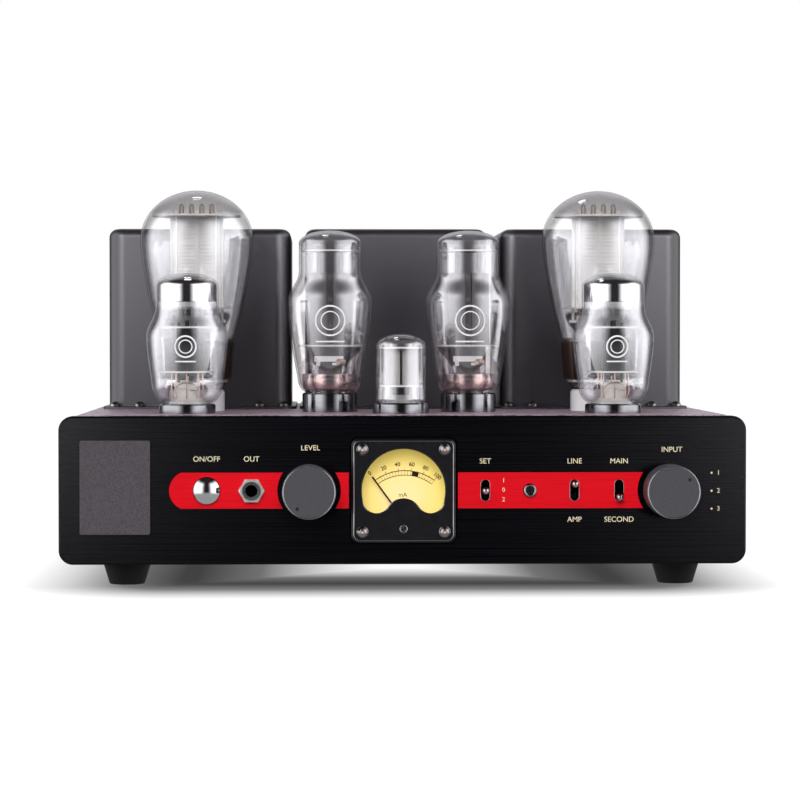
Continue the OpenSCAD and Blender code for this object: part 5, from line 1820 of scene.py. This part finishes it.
@dataclass
class Studio:
    """Floor, light and camera.

    Attributes:
        shadow: Half width and half length of the contact shadow's core.
        floor_reach: Half width of the floor.
        softbox: Strength of the soft lights that mirrors see.
        room: Strength of the dim room for matt surfaces.
        lamps: The lamps over and before the amplifier.
        sheen: Colour of the boxes that show as a sheen.
        lens: Focal length in millimetres on a sensor 36 mm wide.
        view: Sideways place, distance from the panel and height of the camera.
        target: Sideways place and height of the point on the panel that it looks at.
    """

    shadow: Point2 = (0.118, 0.124)
    floor_reach: float = 12.0
    softbox: float = 3.0
    room: float = 0.30
    lamps: tuple[Lamp, ...] = (
        Lamp("spark", Shows.GLOSSY, (-0.13, 0.5, 1.1), (0.0, 0.0, 0.2), (0.14, 0.07),
             12.0 * math.pi * 0.14 * 0.07),
        Lamp("top_light", Shows.MATT, (0.0, -0.2, 1.6), (0.0, 0.0, 0.1), (1.6, 1.6), 14.0),
        Lamp("front_light", Shows.MATT, (-0.2, -2.2, 0.9), (0.0, 0.0, 0.1), (1.2, 1.2), 44.0))
    sheen: Colour = (0.98, 0.93, 1.0)
    lens: float = 129.25
    view: Point3 = (-0.045, 1.5, 0.132)
    target: Point2 = (-0.0018, 0.098)

    def build(self) -> None:
        """Builds the stage."""
        bpy.context.scene.view_settings.view_transform = "Standard"
        self.floor()
        self.world()
        for lamp in self.lamps:
            lamp.build()
        for side in (-1, 1):
            Lamp("side_box", Shows.GLOSSY, (0.45 * side, -0.75, 0.42), (0.13 * side, 0.0, 0.15),
                 (0.5, 0.5), 7.5, Palette.COVER, self.sheen).build()
            Lamp("end_box", Shows.GLOSSY, (0.04 + 0.42 * side, -1.25, 0.08),
                 (0.16 * side, -0.14, 0.05), (0.15, 0.15), 3.6, Palette.PANEL, self.sheen).build()
        self.camera()

    def floor(self) -> None:
        """Builds the pale floor, which glows for the camera outside a soft contact shadow."""
        mesh = bpy.data.meshes.new("floor")
        mesh.from_pydata([(x * self.floor_reach, y * self.floor_reach, 0.0)
                          for x, y in ((-1, -1), (1, -1), (1, 1), (-1, 1))], [], [(0, 1, 2, 3)])
        tree = Tree("floor_white")
        cloud = tree.noise((2.0,) * 3, 2.0)
        colour = tree.ramp(cloud, ((0.3, (0.055,) * 3), (0.7, (0.06,) * 3)))
        level = tree.ramp(self.clearing(tree), ((0.0, (0.05,) * 3), (0.35, (0.16,) * 3),
                                                (0.75, (0.68,) * 3), (1.0, (0.97,) * 3)))
        camera_ray = tree.node("LightPath").outputs["Is Camera Ray"]
        shader = tree.node("BsdfPrincipled", Base_Color=colour, Roughness=0.9,
                           Specular_IOR_Level=0.1, Emission_Color=(1.0, 1.0, 1.0),
                           Emission_Strength=tree.math("MULTIPLY", level, camera_ray))
        mesh.materials.append(tree.finish(shader.outputs["BSDF"]))
        obj = bpy.data.objects.new("floor", mesh)
        obj.visible_glossy = False
        bpy.context.scene.collection.objects.link(obj)

    def clearing(self, tree: Tree) -> Socket:
        """Measures how far a point of the floor lies out of the contact shadow.

        Args:
            tree: Tree of the floor's material.

        Returns:
            0 in the darkest ring and 1 outside the shadow and at its middle.
        """
        near = tree.math("ABSOLUTE", tree.place((1.0, 1.0, 0.0)), kind="VectorMath",
                         result="Vector")
        edge = tree.math("SUBTRACT", near, (*self.shadow, 0.0), kind="VectorMath",
                         result="Vector")
        outer = tree.math("MAXIMUM", edge, (0.0, 0.0, 0.0), kind="VectorMath", result="Vector")
        beyond = tree.math("LENGTH", outer, kind="VectorMath")
        split = tree.node("SeparateXYZ", Vector=edge).outputs
        inner = tree.math("MAXIMUM", split["X"], split["Y"])
        return tree.math("MAXIMUM", tree.span(inner, -0.105, -0.008, 1.0, 0.0),
                         tree.span(beyond, 0.0, 0.085))

    def world(self) -> None:
        """Sets a white backdrop, soft side lights for mirrors and a dim room for matt surfaces."""
        world = bpy.data.worlds.new("studio")
        bpy.context.scene.world = world
        world.use_nodes = True
        nodes = Nodes(world.node_tree)
        path = nodes.node("LightPath").outputs
        shader = nodes.node("Background", Color=(0.9, 0.92, 1.0),
                            Strength=self.room).outputs["Background"]
        for ray, colour, strength in (
                ("Is Glossy Ray", (0.97, 0.97, 1.0), self.side_lights(nodes)),
                ("Is Camera Ray", (1.0, 1.0, 1.0), 1.0)):
            seen = nodes.node("Background", Color=colour, Strength=strength)
            shader = nodes.mix(path[ray], shader, seen.outputs["Background"])
        nodes.node("OutputWorld", Surface=shader)

    def side_lights(self, nodes: Nodes) -> Socket:
        """Draws two soft lights, one to each side, and a pale wall behind.

        Args:
            nodes: Nodes of the world.

        Returns:
            The glow by direction.
        """
        split = nodes.node("SeparateXYZ", Vector=nodes.coords.outputs["Generated"]).outputs
        turn = nodes.math("ARCTAN2", nodes.math("ABSOLUTE", split["X"]),
                          nodes.math("MULTIPLY", split["Y"], -1.0))
        inner = nodes.fade(turn, math.radians(10), math.radians(44))
        outer = nodes.fade(turn, math.radians(132), math.radians(98))
        above = nodes.fade(split["Z"], 0.86, 0.55)
        glow = nodes.math("MULTIPLY", nodes.math("MULTIPLY", inner, outer), above)
        wall = nodes.fade(turn, math.radians(140), math.radians(165))
        behind = nodes.math("MULTIPLY", wall, above)
        lit = nodes.math("ADD", nodes.math("MULTIPLY", glow, self.softbox), behind)
        level = nodes.math("MULTIPLY", lit, nodes.fade(split["Z"], -0.42, -0.06))
        below = nodes.math("MULTIPLY", nodes.fade(split["Z"], -0.06, -0.42), 0.6)
        return nodes.math("ADD", nodes.math("ADD", level, below), 0.035)

    def camera(self) -> None:
        """Adds the camera at the photograph's point of view."""
        data = bpy.data.cameras.new("camera")
        data.lens = self.lens
        data.sensor_width = 36.0
        data.clip_end = 100.0
        obj = bpy.data.objects.new("camera", data)
        aside, away, height = self.view
        aim_at(obj, (aside, PANEL_Y * MM - away, height),
               (self.target[0], PANEL_Y * MM, self.target[1]))
        bpy.context.scene.camera = obj


@dataclass
class Amplifier:
    """The whole amplifier with its stage.

    Attributes:
        parts: Sub-assemblies in the order in which they are built.
    """

    parts: list[object] = field(default_factory=lambda: [
        Construction(), Tubes(), Meter(), PanelMarks(),
        KnobDot("volume_knob", Body.VOLUME, 234.0),
        KnobDot("selector_knob", Body.SELECTOR, 38.0),
        FaceRing("volume_knob", Body.VOLUME, "volume_turn", 13.35, 0.3, Palette.RIM),
        FaceRing("selector_knob", Body.SELECTOR, "selector_turn", 13.35, 0.3, Palette.RIM),
        FaceRing("bias_trim_pot", Body.CHASSIS, "bias_trim_turn", 2.8, 0.5, Palette.CHROME),
        FaceRing("meter_zero_screw", Body.ZERO, "zero_screw_turn", 1.85, 0.3, Palette.RIM),
        SlotFloor("meter_zero_screw", Body.ZERO, "zero_screw_turn", 40.0, (4.4, 0.78), 0.68),
        SlotFloor("bias_trim_shaft", Body.TRIMMER, "bias_trim_turn", 90.0, (4.2, 0.88), 0.78),
        SlotLips(), BoreLining(), Cover("left_cover"), Cover("center_cover"),
        Cover("right_cover"), Studio()])

    def build(self) -> None:
        """Builds every part, with the view layer updated before and after."""
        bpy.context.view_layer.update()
        for part in self.parts:
            part.build()
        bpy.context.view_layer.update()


def main() -> None:
    """Builds the amplifier on its stage."""
    Amplifier().build()


if __name__ == "__main__":
    main()
